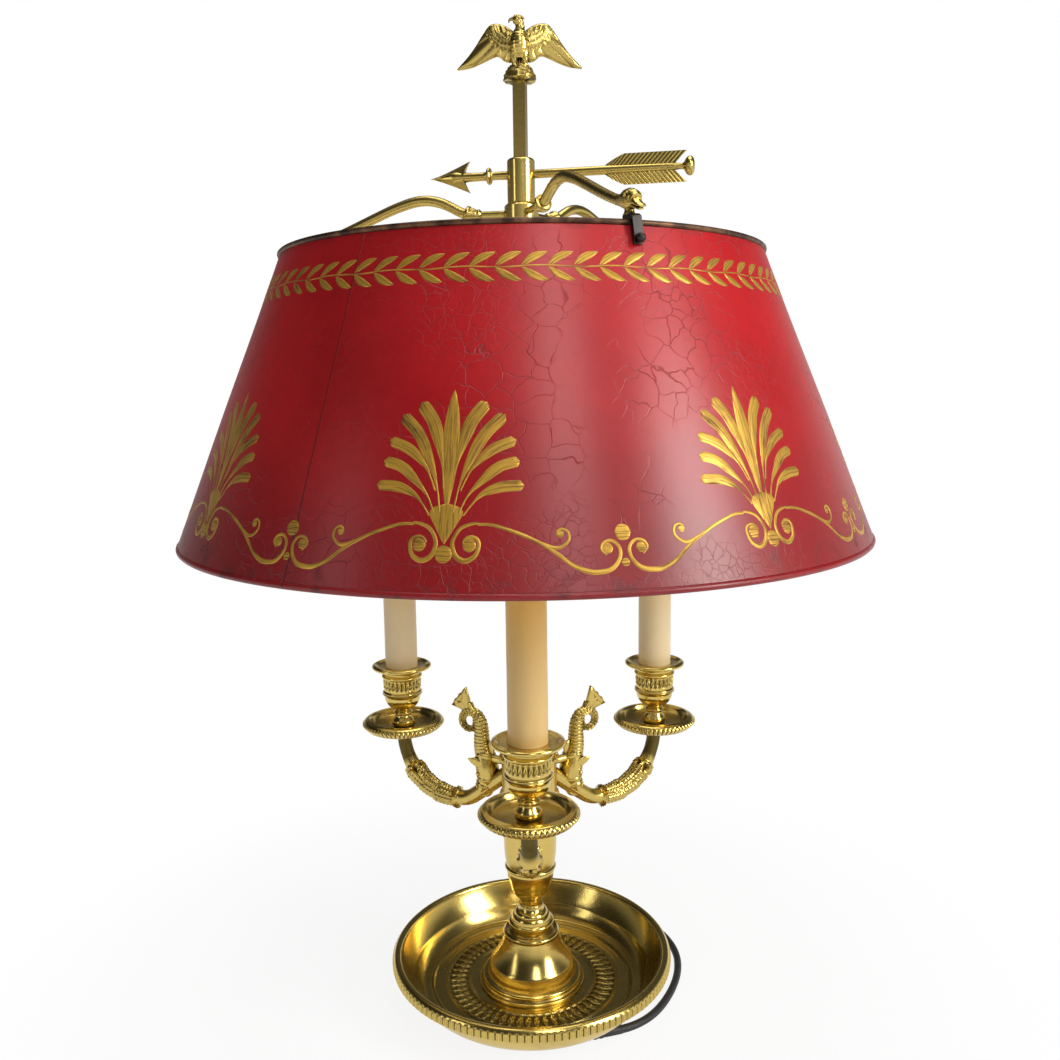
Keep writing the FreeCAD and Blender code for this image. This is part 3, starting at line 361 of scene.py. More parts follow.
# Base dish: spun and cast brass. Its rim carries a band of small tongues, its floor an engraved ring
# of leaves between turned lines, and it stands on a plain foot drum.
RIM_TONGUES = 132
RIM_BAND = (27.2, 33.6)
RIM_FACE = 89.8
TONGUE_FOOT, TONGUE_LONG = 26.8, 7.6
FLOOR_LOW, FLOOR_HIGH = 9, 14
FLOOR_LEAVES = 56
LEAF_BAND = (43.0, 55.6)
LEAF_MIDDLE, LEAF_HALF = 49.3, 6.3
TURNED_LINES = (41.2, 57.6, 60.6, 64.5, 67.0, 70.5)


def polished_metal(name, bright, deep, gloss, grime=1.0, grain=1.0):
    """A polished cast or turned metal: darker and duller in its hollows, faintly uneven all over."""
    made, here, shader = finish_named(name)
    hollow = 1 - here.node("AmbientOcclusion", {"samples": 6}, {"Distance": 3.2 * MM}, output="AO")
    cloud = here.noise(38, 4)
    speck = here.noise(420, 3)
    recess = here.node("Attribute", {"attribute_name": "recess"}, output="Fac")
    tarnish = hollow.between(0.1, 0.7) * grime * 0.8 + cloud.between(0.5, 0.85) * 0.25 * grime
    tarnish = (tarnish + recess * 0.85).clamped()
    tone = speck.mix(bright, tuple(c * 0.86 for c in bright[:3]) + (1,))
    feed(
        shader,
        Base_Color=tarnish.mix(tone, deep),
        Metallic=1.0,
        Roughness=gloss + tarnish * 0.3 + speck * 0.07 + here.noise(110, 2) * 0.06,
    )
    bumped(shader, here.noise(260, 3) * 0.7 + speck * 0.3, 0.05 * grain)
    return made


brass = polished_metal("polished_brass", (0.74, 0.55, 0.16, 1), (0.085, 0.058, 0.012, 1), 0.12)
cast_brass = polished_metal("cast_brass", (0.68, 0.50, 0.14, 1), (0.045, 0.032, 0.008, 1), 0.18, 1.5, 2.0)
steel = polished_metal("plain_steel", (0.55, 0.54, 0.52, 1), (0.10, 0.09, 0.08, 1), 0.3)


def rounded(points, step=2.0):
    """A closed (reach, height) outline in short steps. A third number rounds the side that starts there."""
    dense = []
    for i, point in enumerate(points):
        start = np.array(point[:2], float)
        end = np.array(points[(i + 1) % len(points)][:2], float)
        bulge = point[2] if len(point) > 2 else 0.0
        chord = end - start
        count = max(1, int(np.hypot(*chord) / step), 6 if bulge else 1)
        for k in range(count):
            t = k / count
            if not bulge:
                dense.append(start + chord * t)
                continue
            turn = 4 * atan(bulge)
            centre = (start + end) / 2 + np.array([-chord[1], chord[0]]) * (1 - bulge * bulge) / (4 * bulge)
            spoke = start - centre
            c, s = cos(turn * t), sin(turn * t)
            dense.append(centre + np.array([spoke[0] * c - spoke[1] * s, spoke[0] * s + spoke[1] * c]))
    return np.array(dense)


def spun(name, outline, finish, body, around=144, step=2.0, carve=None, crease=32):
    """A piece turned on the lathe from a closed outline. carve(angle, reach, height) raises its skin."""
    ring = rounded(outline, step)
    if np.sum(ring[:, 0] * np.roll(ring[:, 1], -1) - ring[:, 1] * np.roll(ring[:, 0], -1)) < 0:
        ring = ring[::-1]
    along = np.roll(ring, -1, 0) - np.roll(ring, 1, 0)
    outward = np.stack([along[:, 1], -along[:, 0]], 1) / np.maximum(np.hypot(*along.T), 1e-9)[:, None]
    angle = np.arange(around) * 2 * pi / around
    a, r = np.meshgrid(angle, ring[:, 0], indexing="ij")
    z = np.broadcast_to(ring[:, 1], a.shape)
    rise = carve(a, r, z) if carve else 0.0
    r = r + rise * outward[:, 0]
    z = z + rise * outward[:, 1]
    points = np.stack([r * np.cos(a), r * np.sin(a), z], -1).reshape(-1, 3)
    high = len(ring)
    faces = [
        (i * high + j, ((i + 1) % around) * high + j,
         ((i + 1) % around) * high + (j + 1) % high, i * high + (j + 1) % high)
        for i in range(around)
        for j in range(high)
    ]
    recess = np.broadcast_to(rise, a.shape) / -0.5
    return meshed(name, points, faces, finish, body, crease, recess)


def window(value, low, high, edge):
    """1 where value lies between low and high, falling to 0 over the edge width."""
    return np.clip((value - low) / edge, 0, 1) * np.clip((high - value) / edge, 0, 1)


def share_of_round(angle, count):
    """Where an angle falls in one of count equal parts of the round, from -0.5 to 0.5."""
    return (angle * count / (2 * pi)) % 1 - 0.5


def dish_ornament(angle, reach, height):
    part = np.abs(share_of_round(angle, RIM_TONGUES)) * 2
    up = (height - TONGUE_FOOT) / TONGUE_LONG
    tongue = np.clip((1.12 - part - 1.1 * np.abs(up - 0.45) ** 2) * 2.6, 0, 1)
    edge = window(height, *RIM_BAND, 0.7) * (reach > RIM_FACE)
    rim = edge * (0.85 * tongue * (0.75 + 0.25 * np.cos(part * 8)) - 0.55)
    part = share_of_round(angle, FLOOR_LEAVES)
    across = (reach - LEAF_MIDDLE) / LEAF_HALF
    curl = np.sin(3 * across + 12 * np.abs(part)) * np.cos(7 * across - 9 * part)
    leaf = np.cos(pi * part) ** 2 - np.abs(across) ** 1.5 * 0.8
    floor = (height > FLOOR_LOW) * (height < FLOOR_HIGH)
    cut = window(reach, *LEAF_BAND, 0.4) * floor * (-0.75 + 0.55 * np.clip(leaf * 3, 0, 1) + 0.3 * curl)
    grooves = 0.0
    for line in TURNED_LINES:
        grooves = grooves - 0.4 * np.exp(-(((reach - line) / 0.35) ** 2)) * floor
    return rim + cut + grooves


dish = spun(
    "dish",
    [
        (59, 0.4), (61, 0.4), (61, 8.4), (62, 9), (73, 9, 0.1), (78.6, 14, 0.08), (84.2, 25.4, -0.1),
        (89.6, 26.4), (92.2, 27.6, 0.1), (92.6, 31.8, 0.2), (90.6, 35), (88, 35, 0.2), (86.6, 33.4),
        (86, 33.4, -0.08), (78.4, 20, -0.12), (73, 12, 0.2), (72, 11.6), (66, 11.8), (65, 11), (58, 11),
        (57, 11.8), (41.6, 11.8), (40.6, 11), (5.1, 11), (5.1, 9), (59, 9),
    ],
    brass,
    "stand",
    around=RIM_TONGUES * 6,
    step=0.9,
    carve=dish_ornament,
    crease=40,
)
stands_for(dish, "brass", "base_dish")

# Under the dish: a cast iron weight fills the foot drum, so that the lamp stands firm, and a disc of
# green felt is glued below it. A steel pipe and nut clamp the weight, the dish and the stem together.
felt, here, shader = finish_named("green_felt")
fuzz = here.noise(1500, 4)
feed(shader, Base_Color=fuzz.mix((0.02, 0.06, 0.035, 1), (0.05, 0.12, 0.07, 1)), Roughness=0.95)
bumped(shader, fuzz, 0.3)
iron, here, shader = finish_named("cast_iron")
pits = here.noise(300, 5)
feed(
    shader,
    Base_Color=pits.mix((0.03, 0.028, 0.027, 1), (0.09, 0.085, 0.08, 1)),
    Roughness=0.6 + pits * 0.3,
    Metallic=0.6,
)
bumped(shader, pits, 0.4)
coated(["base_felt"], felt)
coated(["base_weight"], iron)
coated(["tie_nut", "tie_pipe", "arm_nipples", "plug_blades"], steel)

# Stem: a spreading foot, a knop and a long vase, each turned from brass. They are threaded on the pipe
# one above the other, so that each stands on the one below it.
foot_rings = [
    (5.1, 11), (35, 11), (35, 12.4, 0.3), (34.2, 13), (33, 13), (32.4, 14, 0.7), (31, 17), (29.4, 17.4),
    (29, 18.4, 0.04), (28.6, 22), (27.4, 25.4, -0.04), (22.4, 32.4, -0.06), (19.2, 40, -0.02),
    (18.2, 43.6), (5.1, 43.6),
]
foot = spun("stem_foot_turned", foot_rings, brass, "stand", around=160, step=0.8)
stands_for(foot, "brass", "stem_foot")
knop = spun(
    "stem_knop_turned",
    [
        (5.1, 43.6), (17.8, 43.6), (18.2, 44.2, 0.5), (18.2, 46.4), (17.2, 47.2), (14.6, 46.6),
        (13.7, 47.2), (13.7, 50.8), (14.7, 51.2, 0.5), (14.7, 53.4), (13.4, 54), (13.2, 54.6, 0.2),
        (12.0, 57.4), (11.2, 57.6), (11.2, 58.4, 0.2), (9.6, 60.6), (8.6, 61, -0.1), (7.4, 63.6),
        (7.9, 64, 0.5), (7.9, 65), (5.1, 65),
    ],
    brass,
    "stand",
    step=0.8,
)
stands_for(knop, "brass", "stem_knop")
vase = spun(
    "stem_vase_turned",
    [
        (5.1, 65), (7.6, 65), (7.4, 66.5), (7.8, 68), (8.6, 70, 0.22), (13.4, 78, 0.06), (15.8, 89.2),
        (15.6, 90), (16.6, 90.6, 0.5), (16.6, 92.4), (16.0, 93, 0.03), (17.2, 103), (17.9, 128),
        (17.9, 134), (18.4, 134.6, 0.5), (18.4, 137.6), (17, 139), (5.1, 139),
    ],
    brass,
    "stand",
    around=160,
    step=0.9,
)
stands_for(vase, "brass", "stem_vase")

# Hub: a turned brass block at the top of the stem, with a beaded ring at each end. The three arms are
# set into its sides, and a turned cap closes it round the square rod.
HUB_BEADS = 30
LOW_BEADS = (139.6, 143.4)
HIGH_BEADS = (164.6, 168.4)


def hub_beads(angle, reach, height):
    rings = window(height, *LOW_BEADS, 0.8) + window(height, *HIGH_BEADS, 0.8)
    return rings * (reach > 17) * (0.5 * np.abs(np.cos(angle * (HUB_BEADS / 2))) - 0.25)


hub = spun(
    "arm_hub_turned",
    [
        (5.1, 139), (18, 139), (19, 140, 0.3), (19, 143), (18, 144), (18, 164), (19, 165, 0.3),
        (19, 168), (17, 170), (5.4, 170), (5.4, 154),
    ],
    brass,
    "stand",
    around=360,
    step=0.9,
    carve=hub_beads,
)
stands_for(hub, "brass", "arm_hub")
cap = spun(
    "hub_cap_turned",
    [(5.35, 170), (15, 170), (15, 172), (13, 172.6), (11, 173.4, -0.3), (6.8, 180), (5.35, 180)],
    brass,
    "stand",
    step=0.8,
)
stands_for(cap, "brass", "hub_cap")

# Candle arms: hollow cast brass, three from one mould. Each leaves the hub through its dolphin's mouth,
# swings down and out, and rises to its pan; leaves in three tiers clasp its lower bend.
ARM_TURNS = 3
FIRST_ARM = -90
arm_line = [
    (15, 153.1), (24, 146.2), (32, 140.1), (40, 133.8), (46, 129.7), (52, 127.6), (62, 126.8),
    (72, 128.1), (82, 132.2), (90.5, 138.9), (96.8, 147.2), (100.6, 157), (101.9, 167.4),
]
leaf_spans = ((50, 70, 2.2), (60, 82, 2.2), (72, 93.5, 2.9))


def through(points, per=8):
    """A smooth line through rows of numbers, in short steps."""
    rows = np.array(points, float)
    rows = np.vstack([2 * rows[0] - rows[1], rows, 2 * rows[-1] - rows[-2]])
    out = []
    for p0, p1, p2, p3 in zip(rows, rows[1:], rows[2:], rows[3:]):
        for k in range(per):
            t = k / per
            out.append(0.5 * (2 * p1 + (p2 - p0) * t + (2 * p0 - 5 * p1 + 4 * p2 - p3) * t * t
                              + (3 * p1 - p0 - 3 * p2 + p3) * t**3))
    return np.array(out + [rows[-2]])


def swept(rows, sides=24, per=8, carve=None):
    """Skin round a line in the plane y = 0. Each row is reach, height, half thickness, half width."""
    line = through(rows, per)
    ahead = np.gradient(line[:, :2], axis=0)
    ahead /= np.hypot(*ahead.T)[:, None]
    length = along_line(line[:, :2])
    angle = np.arange(sides) * 2 * pi / sides
    s, a = np.meshgrid(length, angle, indexing="ij")
    thick = line[:, 2:3] * np.ones_like(a)
    wide = line[:, 3:4] * np.ones_like(a)
    if carve:
        rise = carve(s, a)
        thick, wide = thick + rise, wide + rise
    up = np.stack([-ahead[:, 1], ahead[:, 0]], 1)
    x = line[:, 0:1] + up[:, 0:1] * thick * np.sin(a)
    z = line[:, 1:2] + up[:, 1:2] * thick * np.sin(a)
    y = wide * np.cos(a)
    points = np.stack([x, y, z], -1).reshape(-1, 3)
    count = len(line)
    faces = [
        (i * sides + j, i * sides + (j + 1) % sides, (i + 1) * sides + (j + 1) % sides, (i + 1) * sides + j)
        for i in range(count - 1)
        for j in range(sides)
    ]
    faces.append(tuple(reversed(range(sides))))
    faces.append(tuple((count - 1) * sides + j for j in range(sides)))
    return points, faces, (rise if carve else 0 * a).ravel() / -0.4


def joined(parts):
    """Points, faces and recesses of several skins as one mesh."""
    points, faces, recess, start = [], [], [], 0
    for some_points, some_faces, *hollows in parts:
        points.append(np.asarray(some_points, float))
        faces += [tuple(i + start for i in face) for face in some_faces]
        recess.append(hollows[0] if hollows else np.zeros(len(some_points)))
        start += len(some_points)
    return np.vstack(points), faces, np.concatenate(recess)


def cast(name, parts, body, crease=50):
    """One casting made of several skins."""
    points, faces, recess = joined(parts)
    return meshed(name, points, faces, cast_brass, body, crease, recess)


copies = bpy.data.node_groups.new("copies_about_axis", "GeometryNodeTree")
for label, kind in (("Piece", "Geometry"), ("Count", "Int"), ("First", "Float"), ("Finish", "Material")):
    copies.interface.new_socket(label, in_out="INPUT", socket_type="NodeSocket" + kind)
copies.interface.new_socket("Pieces", in_out="OUTPUT", socket_type="NodeSocketGeometry")
given = copies.nodes.new("NodeGroupInput")
spots = copies.nodes.new("GeometryNodePoints")
number = copies.nodes.new("GeometryNodeInputIndex")
pitch = copies.nodes.new("ShaderNodeMath")
pitch.operation = "DIVIDE"
pitch.inputs[0].default_value = 2 * pi
turn = copies.nodes.new("ShaderNodeMath")
turn.operation = "MULTIPLY_ADD"
about = copies.nodes.new("ShaderNodeCombineXYZ")
place = copies.nodes.new("GeometryNodeInstanceOnPoints")
real = copies.nodes.new("GeometryNodeRealizeInstances")
coat = copies.nodes.new("GeometryNodeSetMaterial")
result = copies.nodes.new("NodeGroupOutput")
for source, target in (
    (given.outputs["Count"], spots.inputs["Count"]),
    (given.outputs["Count"], pitch.inputs[1]),
    (number.outputs[0], turn.inputs[0]),
    (pitch.outputs[0], turn.inputs[1]),
    (given.outputs["First"], turn.inputs[2]),
    (turn.outputs[0], about.inputs["Z"]),
    (spots.outputs[0], place.inputs["Points"]),
    (given.outputs["Piece"], place.inputs["Instance"]),
    (about.outputs[0], place.inputs["Rotation"]),
    (place.outputs[0], real.inputs[0]),
    (real.outputs[0], coat.inputs["Geometry"]),
    (given.outputs["Finish"], coat.inputs["Material"]),
    (coat.outputs[0], result.inputs[0]),
):
    copies.links.new(source, target)


def repeated(made, count, first, body):
    """Turns a piece into count copies about the axis, the first one turned by first degrees."""
    finish = made.data.materials[0]
    modifier = made.modifiers.new("copies", "NODES")
    modifier.node_group = copies
    values = {"Count": count, "First": radians(first), "Finish": finish}
    for item in copies.interface.items_tree:
        if item.name in values:
            modifier[item.identifier] = values[item.name]
    depsgraph = bpy.context.evaluated_depsgraph_get()
    mesh = bpy.data.meshes.new_from_object(made.evaluated_get(depsgraph))
    made.modifiers.remove(modifier)
    made.data = mesh
    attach(made, body)
    return made


def arm_leaves(s, a):
    """Acanthus that clasps the lower bend, in three tiers, from a small knob to a flared collar."""
    rise = 0.0
    for start, end, high in leaf_spans:
        t = np.clip((s - start) / (end - start), 0, 1)
        lobes = 0.7 + 0.3 * np.abs(np.cos(a * 3 + start))
        tip = np.clip((lobes - t) * 6, 0, 1) * (s > start) * (s < end)
        ribs = 0.3 * np.cos(a * 18) + 0.25 * np.sin(s * 2.4 + 3 * np.cos(a * 3))
        rise = np.maximum(rise, tip * (high * (0.35 + 0.65 * t**1.5) + ribs))
    knobs = 1.7 * np.exp(-(((s - 50) / 1.2) ** 2)) + 1.5 * np.exp(-(((s - 92.6) / 0.9) ** 2))
    thin = -0.5 * np.clip((s - 95) / 6, 0, 1) * np.clip((118 - s) / 6, 0, 1)
    ground = -0.35 * window(s, 51, 92, 0.8) * (rise < 0.2)
    return np.maximum(rise, 0) + knobs + thin + ground


arm = cast("candle_arms", [swept([(x, z, 5.2, 5.2) for x, z in arm_line], 60, 14, arm_leaves)], None)
arm = repeated(arm, ARM_TURNS, FIRST_ARM, "stand")
stands_for(arm, "brass", "candle_arm_front", "candle_arm_right", "candle_arm_left")

# Dolphins: one cast beast per arm. It bites the arm, climbs beside the hub, curls its tail in a ring
# and lifts a forked fin; a short strut ties its back to the hub.
spine = [
    (35.6, 137.6, 4.2, 5.6), (33.6, 142, 5.8, 6.6), (32.2, 147.2, 7.0, 7.2), (32.4, 152.6, 7.9, 7.8),
    (33.8, 158.6, 7.2, 7.0), (35.4, 164.4, 5.9, 5.9), (36.4, 170.6, 5.2, 5.2), (36.5, 177.2, 4.7, 4.8),
    (37.0, 183.2, 4.1, 4.4), (39.4, 188.0, 3.4, 3.8), (43.4, 190.0, 2.9, 3.2), (48.2, 189.2, 2.6, 2.8),
    (51.4, 185.6, 2.4, 2.5), (51.2, 181.0, 2.2, 2.3), (47.6, 178.0, 2.0, 2.1), (43.4, 178.6, 1.9, 2.0),
    (41.2, 182.4, 1.8, 2.0), (41.6, 187.4, 1.7, 2.0), (43.6, 192.4, 1.6, 2.4), (45.4, 196.0, 1.4, 2.8),
]


def dolphin_scales(s, a):
    body = window(s, 26, 92, 5)
    row = s / 2.3
    rows = np.floor(row)
    across = (a * 12 / pi + rows * 0.5) % 1 - 0.5
    scale = np.sqrt(np.clip(1 - 3.4 * across**2, 0, 1)) * (row - rows) ** 0.5
    gill = 0.9 * np.exp(-(((s - 24.5 - 2 * np.cos(a * 2)) / 0.9) ** 2))
    lips = 1.0 * np.exp(-(((s - 5) / 1.1) ** 2)) + 0.7 * np.exp(-(((s - 9.5) / 1.0) ** 2))
    return body * (0.62 * scale - 0.2) + gill + lips


def blade(outline, thick):
    """A cast fin: a flat outline in the plane y = 0, thick in the middle, thin at its edge and grooved."""
    edge = np.array([p[:2] for p in outline], float)
    centre = edge.mean(0)
    rings = [(1.0, 0.25), (0.86, 0.75), (0.6, 0.95), (0.3, 1.0)]
    points, faces = [], []
    for side in (1, -1):
        for share, rise in rings:
            for k, p in enumerate(edge):
                q = centre + (p - centre) * share
                groove = 1 - (0.3 if k % 2 else 0.0)
                points.append((q[0], side * thick * rise * groove, q[1]))
        points.append((centre[0], side * thick, centre[1]))
    n, block = len(edge), len(rings) * len(edge) + 1
    for side in (0, 1):
        base = side * block
        for ring in range(len(rings) - 1):
            for k in range(n):
                quad = (base + ring * n + k, base + ring * n + (k + 1) % n,
                        base + (ring + 1) * n + (k + 1) % n, base + (ring + 1) * n + k)
                faces.append(quad)
        last = base + (len(rings) - 1) * n
        for k in range(n):
            faces.append((last + k, last + (k + 1) % n, base + block - 1))
    for k in range(n):
        faces.append((k, (k + 1) % n, block + (k + 1) % n, block + k))
    return points, faces


def ball(centre, radius, squash=(1, 1, 1), sides=16):
    """A small closed ball or egg."""
    points, faces = [], []
    for i in range(1, sides // 2):
        for j in range(sides):
            u, v = pi * i / (sides // 2), 2 * pi * j / sides
            points.append((sin(u) * cos(v), sin(u) * sin(v), cos(u)))
    points += [(0, 0, 1), (0, 0, -1)]
    points = np.array(points) * radius * np.array(squash) + np.array(centre)
    rows = sides // 2 - 1
    for i in range(rows - 1):
        a, b = i * sides, (i + 1) * sides
        for j in range(sides):
            faces.append((a + j, b + j, b + (j + 1) % sides, a + (j + 1) % sides))
    for j in range(sides):
        faces.append((rows * sides, j, (j + 1) % sides))
        faces.append((rows * sides + 1, (rows - 1) * sides + (j + 1) % sides, (rows - 1) * sides + j))
    return points, faces


tail_fin = blade(
    [
        (43.0, 189), (45.6, 187.8), (49, 189.2), (52.4, 190.4), (56.4, 191.6), (60.4, 192.6),
        (58.6, 194.8), (57.6, 197.2), (55.4, 198.6), (54.2, 201.2), (52, 202.4), (50.6, 204.8),
        (48.0, 206.8), (46.8, 203), (45.4, 198.4), (44.0, 193.6),
    ],
    1.7,
)
back_fin = blade(
    [(29.6, 158), (27.2, 162.4), (26.2, 167.8), (28.4, 171.6), (31, 172), (32.4, 168), (31.6, 163)], 1.5
)
side_fins = []
for side in (1, -1):
    fin_points, fin_faces = blade(
        [(31, 157), (34, 160), (38.6, 161.4), (42.4, 160.6), (40, 157.4), (36, 154.6)], 1.0
    )
    fin_points = np.array(fin_points)
    fin_points[:, 1] = fin_points[:, 1] * 0.8 + side * (6.6 + 0.25 * (fin_points[:, 0] - 34))
    side_fins.append((fin_points, fin_faces))
eyes = [ball((35.6, side * 6.6, 150.4), 1.7) for side in (1, -1)]
brows = [ball((34.2, side * 6.2, 152.6), 2.6, (1.2, 0.6, 0.5)) for side in (1, -1)]
jaw = swept(
    [
        (39.6, 141.6, 1.6, 3.8), (37.6, 137.4, 2.2, 4.6), (34.8, 134.6, 2.2, 4.4),
        (31.4, 134.8, 1.8, 3.4), (29.6, 137.2, 1.2, 2.4), (30.4, 139.6, 0.9, 1.6),
    ],
    16, 6,
)
strut = swept([(17, 160, 3, 3), (22, 160, 2.6, 2.6), (28, 160, 3, 3)], 16, 4)
parts = [swept(spine, 48, 16, dolphin_scales), tail_fin, back_fin, jaw, strut, *side_fins, *eyes, *brows]
dolphins = cast("dolphins", parts, None)
dolphins = repeated(dolphins, ARM_TURNS, FIRST_ARM, "stand")
stands_for(dolphins, "brass", "dolphin_front", "dolphin_right", "dolphin_left")

# Pans and cups: turned brass. The pan's rim is gadrooned; the cup has a grooved ring, a chased band of
# upright leaves and a wide lip to catch the wax.
ARM_REACH = 101.9
GADROONS = 56
PAN_BAND = (170.0, 175.2)
PAN_BELLY = 172.2
PAN_EDGE = 24.7
CUP_LEAVES = 26
CUP_GROOVE = (195.2, 196.2)
CHASED_BAND = (199.2, 205.4)
CUP_LEAF_FOOT, CUP_LEAF_LONG = 199.4, 6
CUP_WALL = 12


def pan_gadroons(angle, reach, height):
    part = np.abs(share_of_round(angle, GADROONS)) * 2
    leaf = np.clip((1.1 - part - 0.05 * (height - PAN_BELLY) ** 2) * 2.6, 0, 1)
    return window(height, *PAN_BAND, 0.6) * (reach > PAN_EDGE) * (0.8 * leaf - 0.5)


def cup_bands(angle, reach, height):
    groove = window(height, *CUP_GROOVE, 0.4) * -0.35
    part = np.abs(share_of_round(angle, CUP_LEAVES)) * 2
    up = (height - CUP_LEAF_FOOT) / CUP_LEAF_LONG
    leaf = np.clip((1.0 - part - np.abs(up - 0.5) ** 2 * 1.6) * 3, 0, 1)
    vein = 0.35 * np.sin(up * 9 + part * 6)
    chased = window(height, *CHASED_BAND, 0.3) * (leaf * (0.55 + vein) - 0.5)
    return (reach > CUP_WALL) * (groove + chased)


def stand_on_arm(made):
    """Moves a piece turned about the lamp's axis out to the end of the first arm, before it is repeated."""
    made.data.transform(Matrix.Translation((ARM_REACH * MM, 0, 0)))
    return repeated(made, ARM_TURNS, FIRST_ARM, "stand")


pans = stand_on_arm(spun(
    "drip_pans",
    [
        (3.05, 167.5), (7.2, 167.5), (7.4, 169, -0.1), (20.2, 169.4), (24.8, 169.8), (28.2, 173.5, 0.3),
        (25.6, 176.7), (24.4, 176.9), (23.6, 177.1), (22.6, 176, -0.1), (20.2, 172.5, -0.05),
        (9.4, 171.2), (3.05, 171),
    ],
    brass, None, around=GADROONS * 8, step=0.7, carve=pan_gadroons, crease=45,
))
stands_for(pans, "brass", "drip_pan_front", "drip_pan_right", "drip_pan_left")
cups = stand_on_arm(spun(
    "candle_cups",
    [
        (3.05, 171), (6.4, 171), (7.2, 172.6, 0.4), (7.0, 176.4), (5.6, 178.6), (5.5, 179.6),
        (6.0, 180.2, 0.6), (6.0, 181.8), (5.4, 182.4), (5.4, 183, -0.15), (9.4, 186, 0.18),
        (12.6, 193.4), (13.4, 194.4, 0.4), (13.4, 196.8), (12.6, 197.6), (12.8, 206), (13.6, 206.8, 0.5),
        (13.6, 208.4), (12.6, 209.4, -0.2), (14.4, 212.4), (18, 212.9), (20, 213.4, 0.5), (20, 215.4),
        (18.4, 216), (16, 214.6), (11.15, 214.4), (11.15, 212), (3.05, 212),
    ],
    brass, None, around=320, step=0.7, carve=cup_bands, crease=42,
))
stands_for(cups, "brass", "candle_cup_front", "candle_cup_right", "candle_cup_left")

# Candle sleeves: cream card tubes with a faint waxy sheen, slipped over the lampholders. Towards the top they
# are painted orange as a painted glow of the red shade's warm light, and the front one is painted darker and
# warmer all the way down as painted shade.
# Painted light and shade: the depths at which the front sleeve is painted darker and warmer, and the heights
# over which every sleeve is painted orange as the warm light thrown by the red shade.
SHADED_FRONT_SLEEVE = (-0.09, -0.06)
SHADE_GLOW_HEIGHTS = (0.24, 0.318)
ivory, here, shader = finish_named("ivory_sleeve")
_, depth, height = here.parts()
mottle = here.noise(70, 4, stretch=(1, 1, 0.25))
# The front sleeve is painted darker and warmer than the others, as painted shade.
front = 1 - depth.between(*SHADED_FRONT_SLEEVE)
card = front.mix(mottle.mix((0.82, 0.63, 0.36, 1), (0.88, 0.70, 0.42, 1)), (0.74, 0.50, 0.19, 1))
feed(
    shader,
    Base_Color=height.between(*SHADE_GLOW_HEIGHTS).mix(card, (0.84, 0.42, 0.05, 1)),
    Roughness=0.38 + mottle * 0.2,
    Subsurface_Weight=0.08,
    Subsurface_Radius=(0.004, 0.002, 0.001),
    Coat_Weight=0.15,
)
bumped(shader, mottle, 0.08)
sleeves = stand_on_arm(spun(
    "candle_sleeves",
    [(9.9, 212), (11.1, 212), (11.1, 319.6), (10.8, 320), (10.2, 320), (9.9, 319.6)],
    ivory, None, around=96, step=4,
))
stands_for(sleeves, "ivory", "candle_sleeve_front", "candle_sleeve_right", "candle_sleeve_left")

# Lampholders and bulbs: black moulded holders inside the sleeves, each with a brass-capped candle bulb
# of frosted glass. The shade hides them from every side.
bakelite, here, shader = finish_named("black_bakelite")
feed(shader, Base_Color=here.noise(90).mix((0.012, 0.010, 0.009, 1), (0.03, 0.024, 0.02, 1)), Roughness=0.3)
frosted, here, shader = finish_named("frosted_glass")
feed(
    shader,
    Base_Color=here.noise(50).mix((0.86, 0.85, 0.82, 1), (0.93, 0.92, 0.9, 1)),
    Roughness=0.35,
    Transmission_Weight=0.5,
    Coat_Weight=0.3,
)
for side in ("front", "right", "left"):
    coated([f"lampholder_{side}"], bakelite)
    coated([f"bulb_glass_{side}"], frosted)
    coated([f"bulb_cap_{side}"], brass)

# Rod, sliding collar and spider ring: a square drawn bar on which a bored collar slides, with a turned
# ring below it that carries three arms. All are brass, polished and a little tarnished in the corners.
coated(["shade_rod", "slide_collar", "spider_hub"], brass)

# Spider: three cast swans. A thin rod screws into the ring, a bell hides its end, and the neck rises in
# a bow and comes down to the shade's upper rim, where the head holds the clip.
FIRST_SWAN = -68
swan_rod = swept([(10.2, 509.5, 2, 2), (18, 509.5, 2, 2), (27, 509.5, 2, 2)], 20, 4)
swan_bell = swept(
    [
        (24.6, 509.5, 2.4, 2.4), (26, 509.5, 3.4, 3.4), (27.2, 509.5, 3.0, 3.0), (28.4, 509.5, 3.6, 3.6),
        (31.4, 509.6, 4.8, 4.8), (33, 509.9, 5.2, 5.2), (34.2, 510.2, 4.9, 4.9), (34.8, 510.4, 3.2, 3.2),
    ],
    32, 6,
)
swan_neck = swept(
    [
        (32, 509.7, 3, 3), (37, 511.2, 3, 3.1), (43, 514.4, 3, 3.1), (50, 517.4, 3.1, 3.1),
        (58, 518.9, 3.1, 3.1), (67, 518.2, 3.1, 3.1), (79, 514.6, 3, 3), (92, 509.4, 2.9, 2.9),
        (105, 504, 2.8, 2.8), (117, 499.2, 2.7, 2.7), (126, 496, 2.6, 2.6), (131.4, 494.6, 3.0, 2.9),
        (135, 494.2, 4.1, 3.7), (139, 494.0, 5.0, 4.5), (143, 493.4, 4.5, 4.1), (145.8, 492.4, 3.0, 2.9),
    ],
    32, 6, lambda s, a: 0.16 * (s > 98) * np.sin(s * 3.1) * np.abs(np.sin(a * 5)),
)
upper_bill = swept(
    [
        (143.6, 492.8, 2.6, 3.0), (146, 491.6, 2.0, 2.7), (148.8, 490.2, 1.3, 2.5),
        (151, 489.2, 1.0, 2.5), (152.4, 488.6, 0.5, 1.8),
    ],
    20, 5,
)
